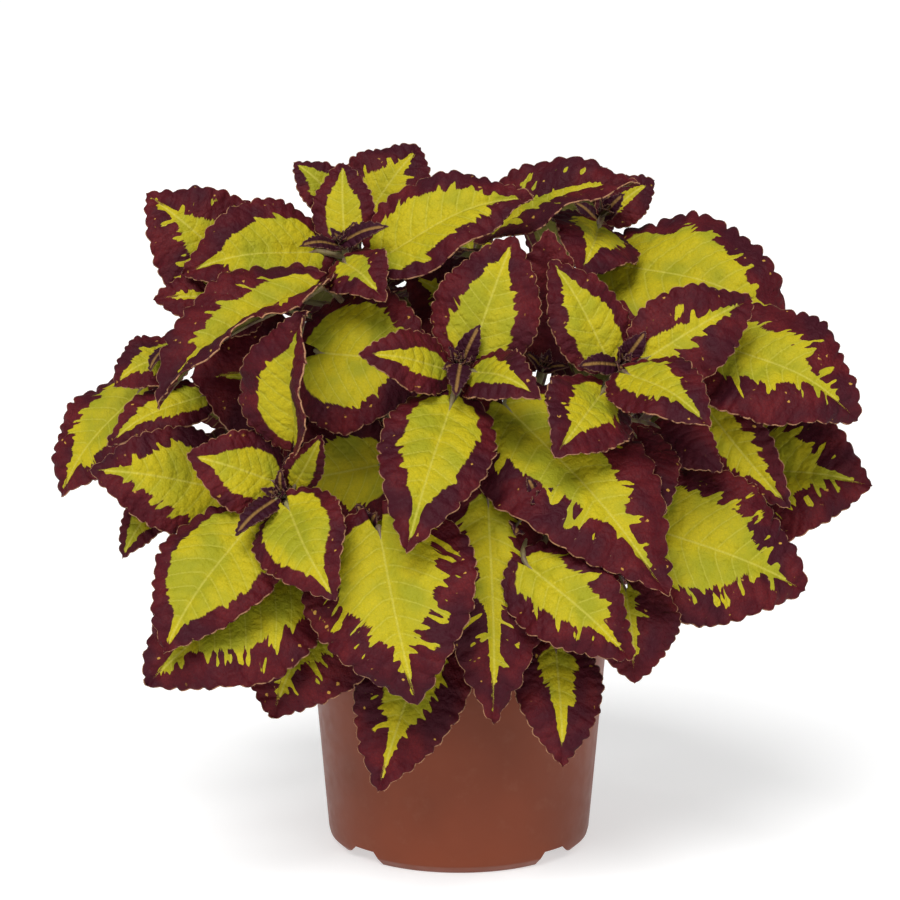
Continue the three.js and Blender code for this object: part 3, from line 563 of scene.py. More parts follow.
def smooth(low, high, value):
    """0 below low, 1 above high, and a smooth rise between."""
    share = np.clip((value - low) / (high - low), 0, 1)
    return share * share * (3 - 2 * share)


def for_length(rule, length):
    return rule[0] + rule[1] * length


def margin_course(leaf):
    """The blade's plain outline laid flat: share, width and place along the leaf, and run."""
    share = np.linspace(0.002, 0.998, 400)
    wide = blade_half(leaf["width"], share)
    place = share * leaf["length"] - BASE_SWEEP * leaf["width"] * (1 - share) ** 4
    run = np.concatenate(((0,), np.cumsum(np.hypot(np.diff(wide), np.diff(place)))))
    return share, wide, place, run


def fine_leaf(leaf, young):
    """Points of one blade's upper and lower surfaces, the upper first, and its surface fields."""
    length, width = leaf["length"], leaf["width"]
    size = min(1.0, length / 60)
    share, wide, place, run = margin_course(leaf)
    edge_length = run[-1]
    lobe_count = max(5, round(edge_length / for_length(LOBE_SPACING, length)))
    small = length < SMALL_LEAF
    far_side = SHOOTS[leaf["shoot"]]["facing"] is None
    lobe_rows = PLAIN_LOBE_ROWS if small or far_side else LOBE_ROWS
    rows = int(np.clip(lobe_count * lobe_rows, *ROW_LIMITS))
    stations = np.linspace(0, edge_length, rows)
    shares = np.interp(stations, run, share)

    u, v = np.meshgrid(shares, COLUMNS[::2] if small else COLUMNS, indexing="ij")
    spread = np.abs(v)
    half = blade_half(width, u)
    points, ups, outs = blade_points(leaf, u, v, half)

    # The scallops push the outer part of the blade along the outline's own normal.
    outward = np.gradient(np.interp(stations, run, place), stations)
    forward = -np.gradient(np.interp(stations, run, wide), stations)
    position = stations / edge_length
    ends = smooth(0.0, 0.03, position) * (1 - smooth(0.97, 1.0, position))
    lobes = []
    for hand in (0, 1):
        beat = lobe_count * position + 0.31 * hand + 0.25 * np.sin(9 * position + leaf["phase"] + hand)
        swell = 0.8 + 0.4 * np.sin(2.7 * lobe_count * position + leaf["phase"] * 3 + hand)
        lobes.append((np.abs(np.sin(np.pi * beat)) ** 0.6 - 0.55) * swell * ends)
    lobe = np.where(v < 0, lobes[0][:, None], lobes[1][:, None]) * for_length(LOBE_DEPTH, length)
    push = lobe * spread**5
    _, along, _ = midrib(leaf, u)
    points = points + outs * (push * outward[:, None] * np.sign(v))[..., None]
    points = points + along * (push * forward[:, None])[..., None]

    # The blade laid flat, for distances to its edge.
    flat_x = v * half + push * outward[:, None] * np.sign(v)
    flat_y = u * length - BASE_SWEEP * width * spread**2 * (1 - u) ** 4 + push * forward[:, None]
    flat = np.stack((flat_x, flat_y), -1)
    outline = np.concatenate((flat[:, 0], flat[:, -1]))
    rim = np.sqrt(((flat[:, :, None] - outline[None, None]) ** 2).sum(-1).min(-1))

    # Side veins leave the midrib at a slant and curve on towards the tip.
    lane = np.abs(flat_x)
    slant = 0.5 * lane / length + 0.55 * (lane / length) ** 2
    vein = for_length(VEIN_COUNT, length) * (flat_y / length - slant) + 0.15 * (v > 0)
    near = np.abs(vein - np.round(vein))
    open_field = smooth(0.5, 3.0 * size + 0.6, lane) * smooth(0.2, 3.0 * size + 0.5, rim)
    relief = size * (0.45 - 1.0 * np.exp(-((near / 0.22) ** 2))) * open_field
    relief = relief - RIB_GROOVE * size * np.exp(-((lane / (0.9 + 0.5 * size)) ** 2))
    sway = np.sin(0.21 * flat_x + leaf["phase"]) * np.sin(0.17 * flat_y + 2 * leaf["phase"])
    relief = relief + 0.9 * size * sway * smooth(0.5, 6.0, lane) + 0.6 * lobe * spread**2.5

    upper = points + ups * (relief + BLADE_THICKNESS / 2)[..., None]
    lower = points + ups * (relief - BLADE_THICKNESS / 2)[..., None]

    band = leaf["band"] * width / 2 * (0.5 + 0.5 * smooth(0.0, 0.3, u)) * (1 + 0.35 * smooth(0.6, 1.0, u))
    tear = leaf["tear"] * min(1.0, length / 45) * smooth(0.02, 0.25, u)
    seed = np.full_like(u, (leaf["phase"] * 7.3 + leaf["shoot"] * 3.1) % 97) + 40 * (v > 0)
    fields = {
        "rim": rim,
        "vein": vein,
        "band": band,
        "tear": tear,
        "young": np.full_like(u, young),
        "lane": lane,
        "seed": seed,
        "place": np.stack((flat_x, flat_y, np.full_like(u, seed[0, 0] * 5)), -1),
    }
    return upper, lower, fields


def in_scene(name, data):
    """A new object of the scene, from its mesh, light or camera."""
    made = bpy.data.objects.new(name, data)
    bpy.context.scene.collection.objects.link(made)
    return made


class Sprig:
    """Collects the points, faces, materials and surface fields of one shoot's mesh."""

    FIELDS = ("rim", "vein", "band", "tear", "young", "lane", "seed")

    def __init__(self):
        self.points = []
        self.faces = []
        self.slots = []
        self.fields = {name: [] for name in self.FIELDS}
        self.places = []
        self.count = 0

    def add_points(self, points, fields=None):
        start = self.count
        flat = points.reshape(-1, 3)
        self.points.append(flat)
        for name in self.FIELDS:
            value = fields[name].ravel() if fields else np.zeros(len(flat))
            self.fields[name].append(value)
        self.places.append(fields["place"].reshape(-1, 3) if fields else flat)
        self.count += len(flat)
        return start

    def add_faces(self, faces, slot):
        self.faces.append(faces)
        self.slots.append(np.full(len(faces), slot))

    def add_blade(self, upper, lower, fields):
        rows, columns = upper.shape[:2]
        grid = np.arange(rows * columns).reshape(rows, columns)
        loop = np.concatenate((grid[0, :-1], grid[:-1, -1], grid[-1, :0:-1], grid[:0:-1, 0]))
        ahead = np.roll(loop, -1)
        top = self.add_points(upper, fields)
        bottom = self.add_points(lower, fields)
        self.add_faces(quads(grid + top), UPPER)
        self.add_faces(quads(grid + bottom)[:, ::-1], UNDERSIDE)
        rim = np.stack((loop + bottom, ahead + bottom, ahead + top, loop + top), 1)
        self.add_faces(rim, UPPER)

    def add_tube(self, path, radii, corners, square=0.0):
        """A tapering tube with closed ends. Square draws its section out towards four corners."""
        angles = (np.arange(corners) + 0.5) / corners * 2 * np.pi
        reach = 1 + square * np.cos(4 * (angles - np.pi / 4))
        along = np.gradient(path, axis=0)
        along /= np.linalg.norm(along, axis=1, keepdims=True)
        across = np.array([square_to(np.array((1.0, 0.02, 0.0)), way) for way in along])
        deep = np.cross(along, across)
        ring = across[:, None] * (reach * np.cos(angles))[None, :, None]
        ring = ring + deep[:, None] * (reach * np.sin(angles))[None, :, None]
        points = path[:, None] + ring * radii[:, None, None]
        rings = self.add_points(points) + np.arange(len(path) * corners).reshape(len(path), corners)
        wrapped = np.concatenate((rings, rings[:, :1]), 1)
        self.add_faces(quads(wrapped), STEM)
        first = self.add_points(path[[0, -1]])
        for ring, centre, turn in ((rings[0], first, -1), (rings[-1], first + 1, 1)):
            side = np.stack((ring, np.roll(ring, -1)), 1)[:, ::turn]
            self.add_faces(np.concatenate((side, np.full((corners, 2), centre)), 1), STEM)

    def build(self, name, materials):
        mesh = bpy.data.meshes.new(name)
        faces = [tuple(dict.fromkeys(face)) for face in np.concatenate(self.faces).tolist()]
        mesh.from_pydata((np.concatenate(self.points) * MM).tolist(), [], faces)
        mesh.polygons.foreach_set("material_index", np.concatenate(self.slots).astype(int))
        mesh.polygons.foreach_set("use_smooth", np.ones(len(faces), bool))
        for field in self.FIELDS:
            layer = mesh.attributes.new(field, "FLOAT", "POINT")
            layer.data.foreach_set("value", np.concatenate(self.fields[field]).astype(np.float32))
        layer = mesh.attributes.new("place", "FLOAT_VECTOR", "POINT")
        layer.data.foreach_set("vector", np.concatenate(self.places).astype(np.float32).ravel())
        for material in materials:
            mesh.materials.append(material)
        mesh.update()
        return in_scene(name, mesh)


def add_hairs(sprig, roots, directions, rng):
    """Short pointed hairs, each a slender spike on three feet."""
    count = len(roots)
    directions = directions + rng.normal(0, 0.35, (count, 3))
    directions /= np.linalg.norm(directions, axis=1, keepdims=True)
    across = np.cross(directions, rng.normal(0, 1, (count, 3)))
    across /= np.linalg.norm(across, axis=1, keepdims=True)
    deep = np.cross(directions, across)
    corners = [roots + directions * rng.uniform(*HAIR_LENGTH, (count, 1))]
    for angle in (0, 2 * math.pi / 3, 4 * math.pi / 3):
        foot = across * math.cos(angle) + deep * math.sin(angle)
        corners.append(roots + foot * HAIR_RADIUS - directions * 0.05)
    start = sprig.add_points(np.stack(corners, 1)) + 4 * np.arange(count)
    for first, second, third in ((0, 1, 2), (0, 2, 3), (0, 3, 1), (1, 3, 2)):
        face = np.stack((start + first, start + second, start + third, start + third), 1)
        sprig.add_faces(face, HAIR)


def blade_hairs(sprig, upper, rng):
    """Hairs along both edges of a blade, which stand out from it."""
    for edge, inner in ((0, 1), (-1, -2)):
        roots = upper[2:-1:2, edge]
        outward = roots - upper[2:-1:2, inner]
        add_hairs(sprig, roots, outward / np.linalg.norm(outward, axis=1, keepdims=True), rng)


def tube_hairs(sprig, path, radii, rng):
    """Hairs all round a stem or stalk."""
    steps = np.linalg.norm(np.diff(path, axis=0), axis=1)
    count = max(4, int(HAIRS_PER_MM * steps.sum()))
    at = rng.random(count) * (len(path) - 1)
    low = at.astype(int)
    share = (at - low)[:, None]
    centre = path[low] * (1 - share) + path[low + 1] * share
    along = (path[low + 1] - path[low]) / steps[low][:, None]
    out = np.cross(along, rng.normal(0, 1, (count, 3)))
    out /= np.linalg.norm(out, axis=1, keepdims=True)
    radius = radii[low][:, None] * (1 - share) + radii[low + 1][:, None] * share
    add_hairs(sprig, centre + out * radius, out, rng)


def quads(grid):
    """The quads of a grid of point numbers."""
    corners = (grid[:-1, :-1], grid[:-1, 1:], grid[1:, 1:], grid[1:, :-1])
    return np.stack([corner.ravel() for corner in corners], 1)


def stalk_course(leaf):
    """The stalk from the stem to the blade, then the midrib under the blade: centres and radii."""
    _, along, _ = midrib(leaf, 0.0)
    span = np.linalg.norm(leaf["base"] - leaf["root"])
    way_out = unit(leaf["base"] - leaf["root"]) if span > 1 else leaf["chord"]
    root = leaf["root"] if span > 1 else leaf["base"] - leaf["chord"]
    stalk = []
    for t in np.linspace(0, 1, 7)[:-1]:
        first = (2 * t**3 - 3 * t**2 + 1) * root + (t**3 - 2 * t**2 + t) * way_out * span
        last = (3 * t**2 - 2 * t**3) * leaf["base"] + (t**3 - t**2) * along * span * 0.6
        stalk.append(first + last)
    shares = np.linspace(0, 0.94, 14)
    point, _, up = midrib(leaf, shares)
    size = min(1.0, leaf["length"] / 60)
    thick = 0.45 + 0.75 * size
    under = (1 - shares) * thick * 0.75 + 0.12
    sunk = RIB_GROOVE * size * smooth(0.0, 0.06, shares) + BLADE_THICKNESS / 2
    rib = point - up * (sunk + 0.75 * under)[:, None]
    path = np.concatenate((np.array(stalk), rib))
    radii = np.concatenate((np.linspace(thick * 1.15, thick, 6), under))
    return path, radii


def tip_leaves(index, shoot):
    """The tight cluster of young leaves at the growing tip, in crossed pairs."""
    root = np.array(shoot["tip"], float)
    axis = stem_tangent(shoot, 1.0)
    if shoot["facing"]:
        axis = unit(axis + np.array(shoot["facing"]) * 0.9)
    east = square_to(np.array((1.0, 0.3, 0.1)), axis)
    cluster = []
    for tier, (length, width, rise, heading, band) in enumerate(TIP_PAIRS):
        for turn in (0, 180):
            out = turned(east, axis, heading + turn + 12 * index)
            out = out * math.cos(math.radians(rise)) + axis * math.sin(math.radians(rise))
            base = root + axis * (0.3 + 0.5 * tier) + out * 0.8
            leaf = {"root": root, "base": base, "tip": base + out * length, "width": width}
            leaf.update(arch=0.1, roll=0, fold=0, facing=axis, shoot=index)
            leaf.update(phase=1.7 * tier + turn, band=band, tear=0.3)
            cluster.append(set_frame(leaf))
    return cluster


def make_shoot(index, shoot, leaves, materials):
    sprig = Sprig()
    rng = np.random.default_rng(100 + index)
    foot = np.array((*shoot["foot"], SOIL_LEVEL - HOLE_DEPTH), float)
    course = np.array([foot] + [stem_point(shoot, share) for share in np.linspace(0, 1, 22)])
    radii = np.linspace(STEM_FOOT_HALF * 1.12, STEM_TIP_HALF * 1.1, len(course))
    sprig.add_tube(course, radii, STEM_CORNERS, square=0.12)
    tube_hairs(sprig, course[2:], radii[2:], rng)
    for leaf in leaves + tip_leaves(index, shoot):
        young = float(1 - smooth(*YOUNG_WIDTHS, leaf["width"]))
        upper, lower, fields = fine_leaf(leaf, young)
        sprig.add_blade(upper, lower, fields)
        blade_hairs(sprig, upper, rng)
        path, radii = stalk_course(leaf)
        sprig.add_tube(path, radii, STALK_CORNERS)
        tube_hairs(sprig, path[:9], radii[:9], rng)
    piece = sprig.build(shoot["name"].replace("shoot", "leafy_shoot"), materials)
    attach(piece, "root")
    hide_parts(shoot["name"])
    return piece


# ---------------- materials


class Nodes:
    """Short forms for building a material's node tree."""

    def __init__(self, name):
        self.material = bpy.data.materials.new(name)
        self.material.use_nodes = True
        self.tree = self.material.node_tree
        self.shader = self.tree.nodes["Principled BSDF"]

    def link(self, value, socket):
        if isinstance(value, (int, float, tuple)):
            socket.default_value = value
        else:
            self.tree.links.new(value, socket)

    def add(self, kind, inputs, output=0, **settings):
        """A new node's output. Its inputs are told by their names or numbers."""
        node = self.tree.nodes.new("ShaderNode" + kind)
        for name, value in settings.items():
            setattr(node, name, value)
        for socket, value in inputs.items():
            self.link(value, node.inputs[socket])
        return node.outputs[output]

    def attribute(self, name, output="Fac"):
        return self.add("Attribute", {}, output, attribute_name=name)

    def position(self):
        return self.add("TexCoord", {}, "Object")

    def math(self, operation, *values):
        return self.add("Math", dict(enumerate(values)), operation=operation)

    def times(self, first, second):
        return self.math("MULTIPLY", first, second)

    def line(self, value, slope, start):
        """The value times a slope, and a start."""
        return self.math("MULTIPLY_ADD", value, slope, start)

    def span(self, value, low, high, to_low=0.0, to_high=1.0):
        """A smooth step from to_low to to_high as value goes from low to high."""
        inputs = dict(enumerate((value, low, high, to_low, to_high)))
        return self.add("MapRange", inputs, interpolation_type="SMOOTHSTEP")

    def mix(self, share, first, second):
        first, second = ((*one, 1.0) if isinstance(one, tuple) else one for one in (first, second))
        return self.add("Mix", {0: share, 6: first, 7: second}, 2, data_type="RGBA")

    def noise(self, vector, scale, detail=2.0, rough=0.5):
        inputs = {"Vector": vector, "Scale": scale, "Detail": detail, "Roughness": rough}
        return self.add("TexNoise", inputs)

    def patches(self, vector, scale, detail, low, high):
        """1 in soft patches and 0 between them."""
        return self.span(self.noise(vector, scale, detail), low, high)

    def cells(self, vector, scale, feature="F1"):
        return self.add("TexVoronoi", {"Vector": vector, "Scale": scale}, "Distance", feature=feature)

    def net(self, vector, scale):
        """How far it is to the net of borders between cells."""
        return self.cells(vector, scale, "DISTANCE_TO_EDGE")

    def join(self, *values):
        return self.add("CombineXYZ", dict(enumerate(values)))

    def bump(self, height, distance, strength, after=None):
        inputs = {"Height": height, "Distance": distance, "Strength": strength}
        if after is not None:
            inputs["Normal"] = after
        return self.add("Bump", inputs)

    def finish(self, colour, normal=None, **constants):
        self.link(colour, self.shader.inputs["Base Color"])
        if normal is not None:
            self.link(normal, self.shader.inputs["Normal"])
        for name, value in constants.items():
            self.shader.inputs[name.replace("_", " ")].default_value = value
        return self.material


LIME = (0.425, 0.345, 0.008)
LIME_GREEN = (0.27, 0.262, 0.011)
LIME_PALE = (0.52, 0.46, 0.08)
MAROON = (0.06, 0.0035, 0.007)
MAROON_RED = (0.096, 0.008, 0.0105)
MAROON_PURPLE = (0.04, 0.004, 0.009)
YOUNG_PURPLE = (0.03, 0.004, 0.011)
YOUNG_TAN = (0.22, 0.12, 0.035)
EDGE_PINK = (0.46, 0.24, 0.12)
DROP_CREAM = (0.56, 0.32, 0.05)
UNDER_GREEN = (0.16, 0.15, 0.03)
UNDER_PURPLE = (0.085, 0.014, 0.02)
UNDER_VEIN = (0.26, 0.2, 0.08)
STEM_GREEN = (0.17, 0.13, 0.045)
STEM_MAROON = (0.08, 0.026, 0.024)
STEM_PALE = (0.2, 0.17, 0.06)
HAIR_PALE = (0.45, 0.33, 0.26, 1.0)
POT_BROWN = (0.188, 0.042, 0.0165)
POT_DARK = (0.16, 0.035, 0.0135)
POT_DUST = (0.34, 0.17, 0.11)
PEAT_BLACK = (0.012, 0.007, 0.005)
PEAT_BROWN = (0.05, 0.027, 0.015)
PEAT_FIBRE = (0.13, 0.075, 0.04)


def flamed(n, rim):
    """1 in the lime centre, 0 in the maroon margin. The border is torn along the side veins."""
    tear = n.attribute("tear")
    place = n.attribute("place", "Vector")
    vein = n.attribute("vein")
    streaks = n.join(n.times(vein, 1.7), n.times(rim, 0.1), n.attribute("seed"))
    flame = n.patches(streaks, 1.0, 1.0, 0.46, 0.7)
    lick = n.join(n.times(vein, 7.0), n.times(rim, 0.22), n.attribute("seed"))
    fringe = n.math("SUBTRACT", n.noise(lick, 1.0, 2.0, 0.6), 0.5)
    drift = n.math("SUBTRACT", n.noise(place, 0.07, 1.0), 0.5)
    limit = n.line(drift, 0.5, 0.86)
    limit = n.line(n.line(flame, -0.8, 0.3), tear, limit)
    limit = n.times(limit, n.attribute("band"))
    limit = n.line(n.times(fringe, tear), 4.6, limit)
    tail = n.span(n.attribute("lane"), 3.2, 0.3)
    limit = n.times(limit, n.line(tail, -0.62, 1.0))
    return n.span(n.math("SUBTRACT", rim, limit), -0.35, 0.3)


def leaf_upper_material():
    n = Nodes("coleus_leaf_upper")
    place = n.attribute("place", "Vector")
    rim = n.attribute("rim")
    lane = n.attribute("lane")
    young = n.attribute("young")
    near = n.math("PINGPONG", n.attribute("vein"), 0.5)
    centre = flamed(n, rim)

    lime = n.mix(n.patches(place, 0.06, 2.0, 0.38, 0.68), LIME, LIME_GREEN)
    # Painted shade: the lime darkens towards LIME_GREEN alongside the side veins, standing for shade in
    # their sunken grooves.
    vein_groove_shade = n.times(n.span(near, 0.22, 0.08), n.span(lane, 0.5, 2.5))
    lime = n.mix(n.times(vein_groove_shade, 0.22), lime, LIME_GREEN)
    pale = n.times(n.span(near, 0.07, 0.01), n.span(lane, 0.2, 1.5))
    lime = n.mix(n.times(pale, 0.3), lime, LIME_PALE)
    lime = n.mix(n.times(n.span(lane, 0.65, 0.15), 0.5), lime, LIME_PALE)
    # Painted shade: the lime darkens towards LIME_GREEN along a fine net of veinlets, standing for shade
    # in the creases between small pillows of the blade.
    veinlets = n.net(place, 0.75)
    net = n.span(veinlets, 0.16, 0.0)
    lime = n.mix(n.times(net, 0.3), lime, LIME_GREEN)

    maroon = n.mix(n.patches(place, 0.11, 3.0, 0.35, 0.65), MAROON, MAROON_RED)
    maroon = n.mix(n.patches(place, 0.05, 2.0, 0.42, 0.66), maroon, MAROON_PURPLE)
    # Painted shade: the maroon darkens towards purple along the same net of veinlets.
    maroon = n.mix(n.times(net, 0.35), maroon, MAROON_PURPLE)

    flecks = n.line(n.noise(place, 0.9, 1.0), 0.5, n.cells(place, 0.26))
    drops = n.times(n.span(flecks, 0.42, 0.34), n.patches(place, 0.12, 1.0, 0.56, 0.6))
    drops = n.times(drops, n.span(rim, 0.8, 1.6))
    maroon = n.mix(n.times(drops, 0.7), maroon, DROP_CREAM)

    colour = n.mix(centre, maroon, lime)
    streak = n.times(centre, n.span(lane, 1.0, 0.2))
    young_colour = n.mix(streak, YOUNG_PURPLE, YOUNG_TAN)
    colour = n.mix(young, colour, young_colour)
    edge = n.times(n.span(rim, 0.36, 0.1), n.patches(place, 0.45, 1.0, 0.34, 0.54))
    edge = n.times(edge, n.line(young, -0.5, 0.75))
    colour = n.mix(edge, colour, EDGE_PINK)

    quilt = n.span(n.net(place, 0.3), 0.0, 0.4)
    normal = n.bump(n.span(near, 0.0, 0.26), 0.0004, 0.4)
    normal = n.bump(quilt, 0.0005, 0.5, normal)
    normal = n.bump(n.span(veinlets, 0.0, 0.3), 0.0002, 0.45, normal)
    normal = n.bump(n.noise(place, 2.2, 2.0), 0.0001, 0.4, normal)
    return n.finish(colour, normal, Roughness=0.6, Specular_IOR_Level=0.11)


def leaf_under_material():
    n = Nodes("coleus_leaf_underside")
    place = n.attribute("place", "Vector")
    near = n.math("PINGPONG", n.attribute("vein"), 0.5)
    centre = flamed(n, n.attribute("rim"))
    under = n.mix(centre, UNDER_PURPLE, UNDER_GREEN)
    under = n.mix(n.times(n.span(near, 0.1, 0.02), 0.5), under, UNDER_VEIN)
    under = n.mix(n.times(n.attribute("young"), 0.7), under, YOUNG_PURPLE)
    net = n.span(n.net(place, 0.5), 0.1, 0.0)
    normal = n.bump(net, 0.0002, 0.6)
    return n.finish(under, normal, Roughness=0.62, Specular_IOR_Level=0.15)


def stem_material():
    n = Nodes("coleus_stem")
    place = n.position()
    streaks = n.noise(place, 260.0, 3.0)
    colour = n.mix(n.span(streaks, 0.35, 0.7), STEM_GREEN, STEM_MAROON)
    colour = n.mix(n.patches(place, 60.0, 2.0, 0.45, 0.65), colour, STEM_PALE)
    normal = n.bump(n.noise(place, 1500.0, 2.0), 0.0002, 0.5)
    return n.finish(colour, normal, Roughness=0.55, Sheen_Weight=0.1, Sheen_Roughness=0.5)


def hair_material():
    n = Nodes("coleus_hairs")
    return n.finish(HAIR_PALE, Roughness=0.6, Specular_IOR_Level=0.3)


def pot_material():
    n = Nodes("pot_plastic")
    place = n.position()
    cloud = n.noise(place, 22.0, 3.0)
    colour = n.mix(n.span(cloud, 0.35, 0.68), POT_BROWN, POT_DARK)
    dust = n.times(n.span(n.noise(place, 90.0, 4.0, 0.7), 0.52, 0.75), 0.08)
    colour = n.mix(dust, colour, POT_DUST)
    normal = n.bump(n.noise(place, 900.0, 3.0), 0.00004, 0.6)
    normal = n.bump(n.noise(place, 34.0, 2.0), 0.0006, 0.25, normal)
    roughness = n.span(n.noise(place, 150.0, 3.0), 0.2, 0.8, 0.36, 0.5)
    n.link(roughness, n.shader.inputs["Roughness"])
    return n.finish(colour, normal, Specular_IOR_Level=0.2)


def compost_material():
    n = Nodes("damp_compost")
    place = n.position()
    colour = n.mix(n.patches(place, 500.0, 4.0, 0.35, 0.7), PEAT_BLACK, PEAT_BROWN)
    flecks = n.span(n.cells(place, 420.0), 0.16, 0.1)
    colour = n.mix(n.times(flecks, 0.6), colour, PEAT_FIBRE)
    normal = n.bump(n.noise(place, 900.0, 4.0), 0.0008, 0.8)
    return n.finish(colour, normal, Roughness=0.9, Specular_IOR_Level=0.2)


# ---------------- pot and compost

POT_SEGMENTS = 160
DRAIN_SEGMENTS = 24
DRAIN_DEPTH = 8
CORNER_REACH = 0.6
CORNER_STEPS = 4
NEARLY_STRAIGHT = -0.94
SHARP_ANGLE = 35
SOIL_RINGS = 46
SOIL_SEGMENTS = 150
SOIL_RADIUS = POT_RIM_RADIUS - POT_WALL - 3.4
SOIL_FLOOR = 14
SOIL_GRIT = 0.32
CRUMBS = 420
CRUMB_SIZE = (0.5, 1.5)


def pot_profile(inset, top):
    """The pot's outer profile (radius, height), drawn in by an inset on every side but the open top."""
    shoulder = POT_HEIGHT - POT_RIM_BAND
    return (
        (0, inset),
        (POT_FOOT_RADIUS - inset, inset),
        (POT_CHAMFER_RADIUS - inset, POT_CHAMFER_HEIGHT + inset),
        (POT_BASE_RADIUS - inset, POT_BASE_HEIGHT + inset),
        *wall_rings(inset),
        (POT_NECK_RADIUS - inset, shoulder),
        (POT_RIM_RADIUS - 0.4 - inset, shoulder + inset * 0.4 + 0.6),
        (POT_RIM_RADIUS - inset, top),
        (0, top),
    )


def wall_rings(inset):
    """More rings of the tapered wall, so that what is cut out of its foot leaves its shading alone."""
    span = POT_HEIGHT - POT_RIM_BAND - POT_BASE_HEIGHT
    rings = []
    for share in (0.04, 0.08, 0.3, 0.55, 0.8, 0.97):
        radius = POT_BASE_RADIUS + (POT_NECK_RADIUS - POT_BASE_RADIUS) * share
        rings.append((radius - inset, POT_BASE_HEIGHT + inset + (span - inset) * share))
    return rings


def softened(profile):
    """A profile with each clear corner between its ends rounded off."""
    points = np.array(profile, float)
    rounded = [tuple(points[0])]
    for before, corner, after in zip(points, points[1:-1], points[2:]):
        back, ahead = unit(before - corner), unit(after - corner)
        if back @ ahead < NEARLY_STRAIGHT:
            rounded.append(tuple(corner))
            continue
        nearest = min(np.linalg.norm(before - corner), np.linalg.norm(after - corner))
        span = min(CORNER_REACH, nearest / 2.5)
        for t in np.linspace(0, 1, CORNER_STEPS + 1):
            rounded.append(tuple(corner + back * span * (1 - t) ** 2 + ahead * span * t**2))
    return [*rounded, tuple(points[-1])]


def turns(segments):
    """The angles round a circle, step by step."""
    return [2 * math.pi * step / segments for step in range(segments)]


def ring_of(shape, radius, height, segments):
    """A ring of corners, or a single one on the axis."""
    angles = turns(segments) if radius else [0]
    return [
        shape.verts.new((radius * MM * math.cos(angle), radius * MM * math.sin(angle), height * MM))
        for angle in angles
    ]


def turned_solid(name, profile):
    """A closed solid turned about the Z axis."""
    shape = bmesh.new()
    rings = [ring_of(shape, radius, height, POT_SEGMENTS) for radius, height in profile]
    for lower, upper in zip(rings, rings[1:]):
        for step in range(POT_SEGMENTS):
            ahead = (step + 1) % POT_SEGMENTS
            if len(lower) == 1:
                shape.faces.new((lower[0], upper[ahead], upper[step]))
            elif len(upper) == 1:
                shape.faces.new((lower[step], lower[ahead], upper[0]))
            else:
                shape.faces.new((lower[step], lower[ahead], upper[ahead], upper[step]))
    return object_from(name, shape)


def object_from(name, shape):
    bmesh.ops.recalc_face_normals(shape, faces=shape.faces)
    mesh = bpy.data.meshes.new(name)
    shape.to_mesh(mesh)
    shape.free()
    return in_scene(name, mesh)


def channel_solid(side, inset):
    """One drainage channel under the base, along the Y axis, as a prism."""
    mouth = CHANNEL_MOUTH_HALF + inset
    roof = CHANNEL_ROOF_HALF + inset
    height = CHANNEL_HEIGHT + inset
    section = ((-mouth, -1), (mouth, -1), (mouth, 0), (roof, height), (-roof, height), (-mouth, 0))
    shape = bmesh.new()
    ends = []
    middle = side * CHANNEL_OFFSET
    for y in (-2 * POT_RIM_RADIUS, 2 * POT_RIM_RADIUS):
        ends.append([shape.verts.new(((x + middle) * MM, y * MM, z * MM)) for x, z in section])
    shape.faces.new(ends[0])
    shape.faces.new(ends[1][::-1])
    for here in range(len(section)):
        ahead = (here + 1) % len(section)
        shape.faces.new((ends[0][here], ends[1][here], ends[1][ahead], ends[0][ahead]))
    return object_from("channel", shape)


def drain_solid(side, along):
    shape = bmesh.new()
    bmesh.ops.create_cone(
        shape,
        cap_ends=True,
        segments=DRAIN_SEGMENTS,
        radius1=DRAIN_RADIUS * MM,
        radius2=DRAIN_RADIUS * MM,
        depth=DRAIN_DEPTH * MM,
    )
    place = Matrix.Translation(Vector((side * CHANNEL_OFFSET, along, CHANNEL_HEIGHT)) * MM)
    bmesh.ops.transform(shape, matrix=place, verts=shape.verts)
    return object_from("drain", shape)


def carve(body, cutters):
    """Cuts solids away from a body and removes them."""
    for cutter in cutters:
        cut = body.modifiers.new("cut", "BOOLEAN")
        cut.operation = "DIFFERENCE"
        cut.solver = "EXACT"
        cut.object = cutter
    mesh = applied(body)
    old = body.data
    body.modifiers.clear()
    body.data = mesh
    bpy.data.meshes.remove(old)
    for cutter in cutters:
        bpy.data.objects.remove(cutter)


def applied(piece):
    """A piece's mesh with its modifiers worked in."""
    graph = bpy.context.evaluated_depsgraph_get()
    return bpy.data.meshes.new_from_object(piece.evaluated_get(graph))


def make_pot(material):
    pot = turned_solid("nursery_pot", softened(pot_profile(0, POT_HEIGHT)))
    inside = turned_solid("inside", pot_profile(POT_WALL, POT_HEIGHT + 1))
    carve(inside, [channel_solid(side, POT_WALL) for side in (-1, 1)])
    cutters = [inside] + [channel_solid(side, 0) for side in (-1, 1)]
    cutters += [drain_solid(side, along) for side in (-1, 1) for along in DRAIN_OFFSETS]
    carve(pot, cutters)
    pot.data.materials.clear()
    pot.data.materials.append(material)
    for face in pot.data.polygons:
        face.use_smooth = True
        face.material_index = 0
    pot.data.set_sharp_from_angle(angle=math.radians(SHARP_ANGLE))
    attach(pot, "root")
    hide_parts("pot")
    return pot


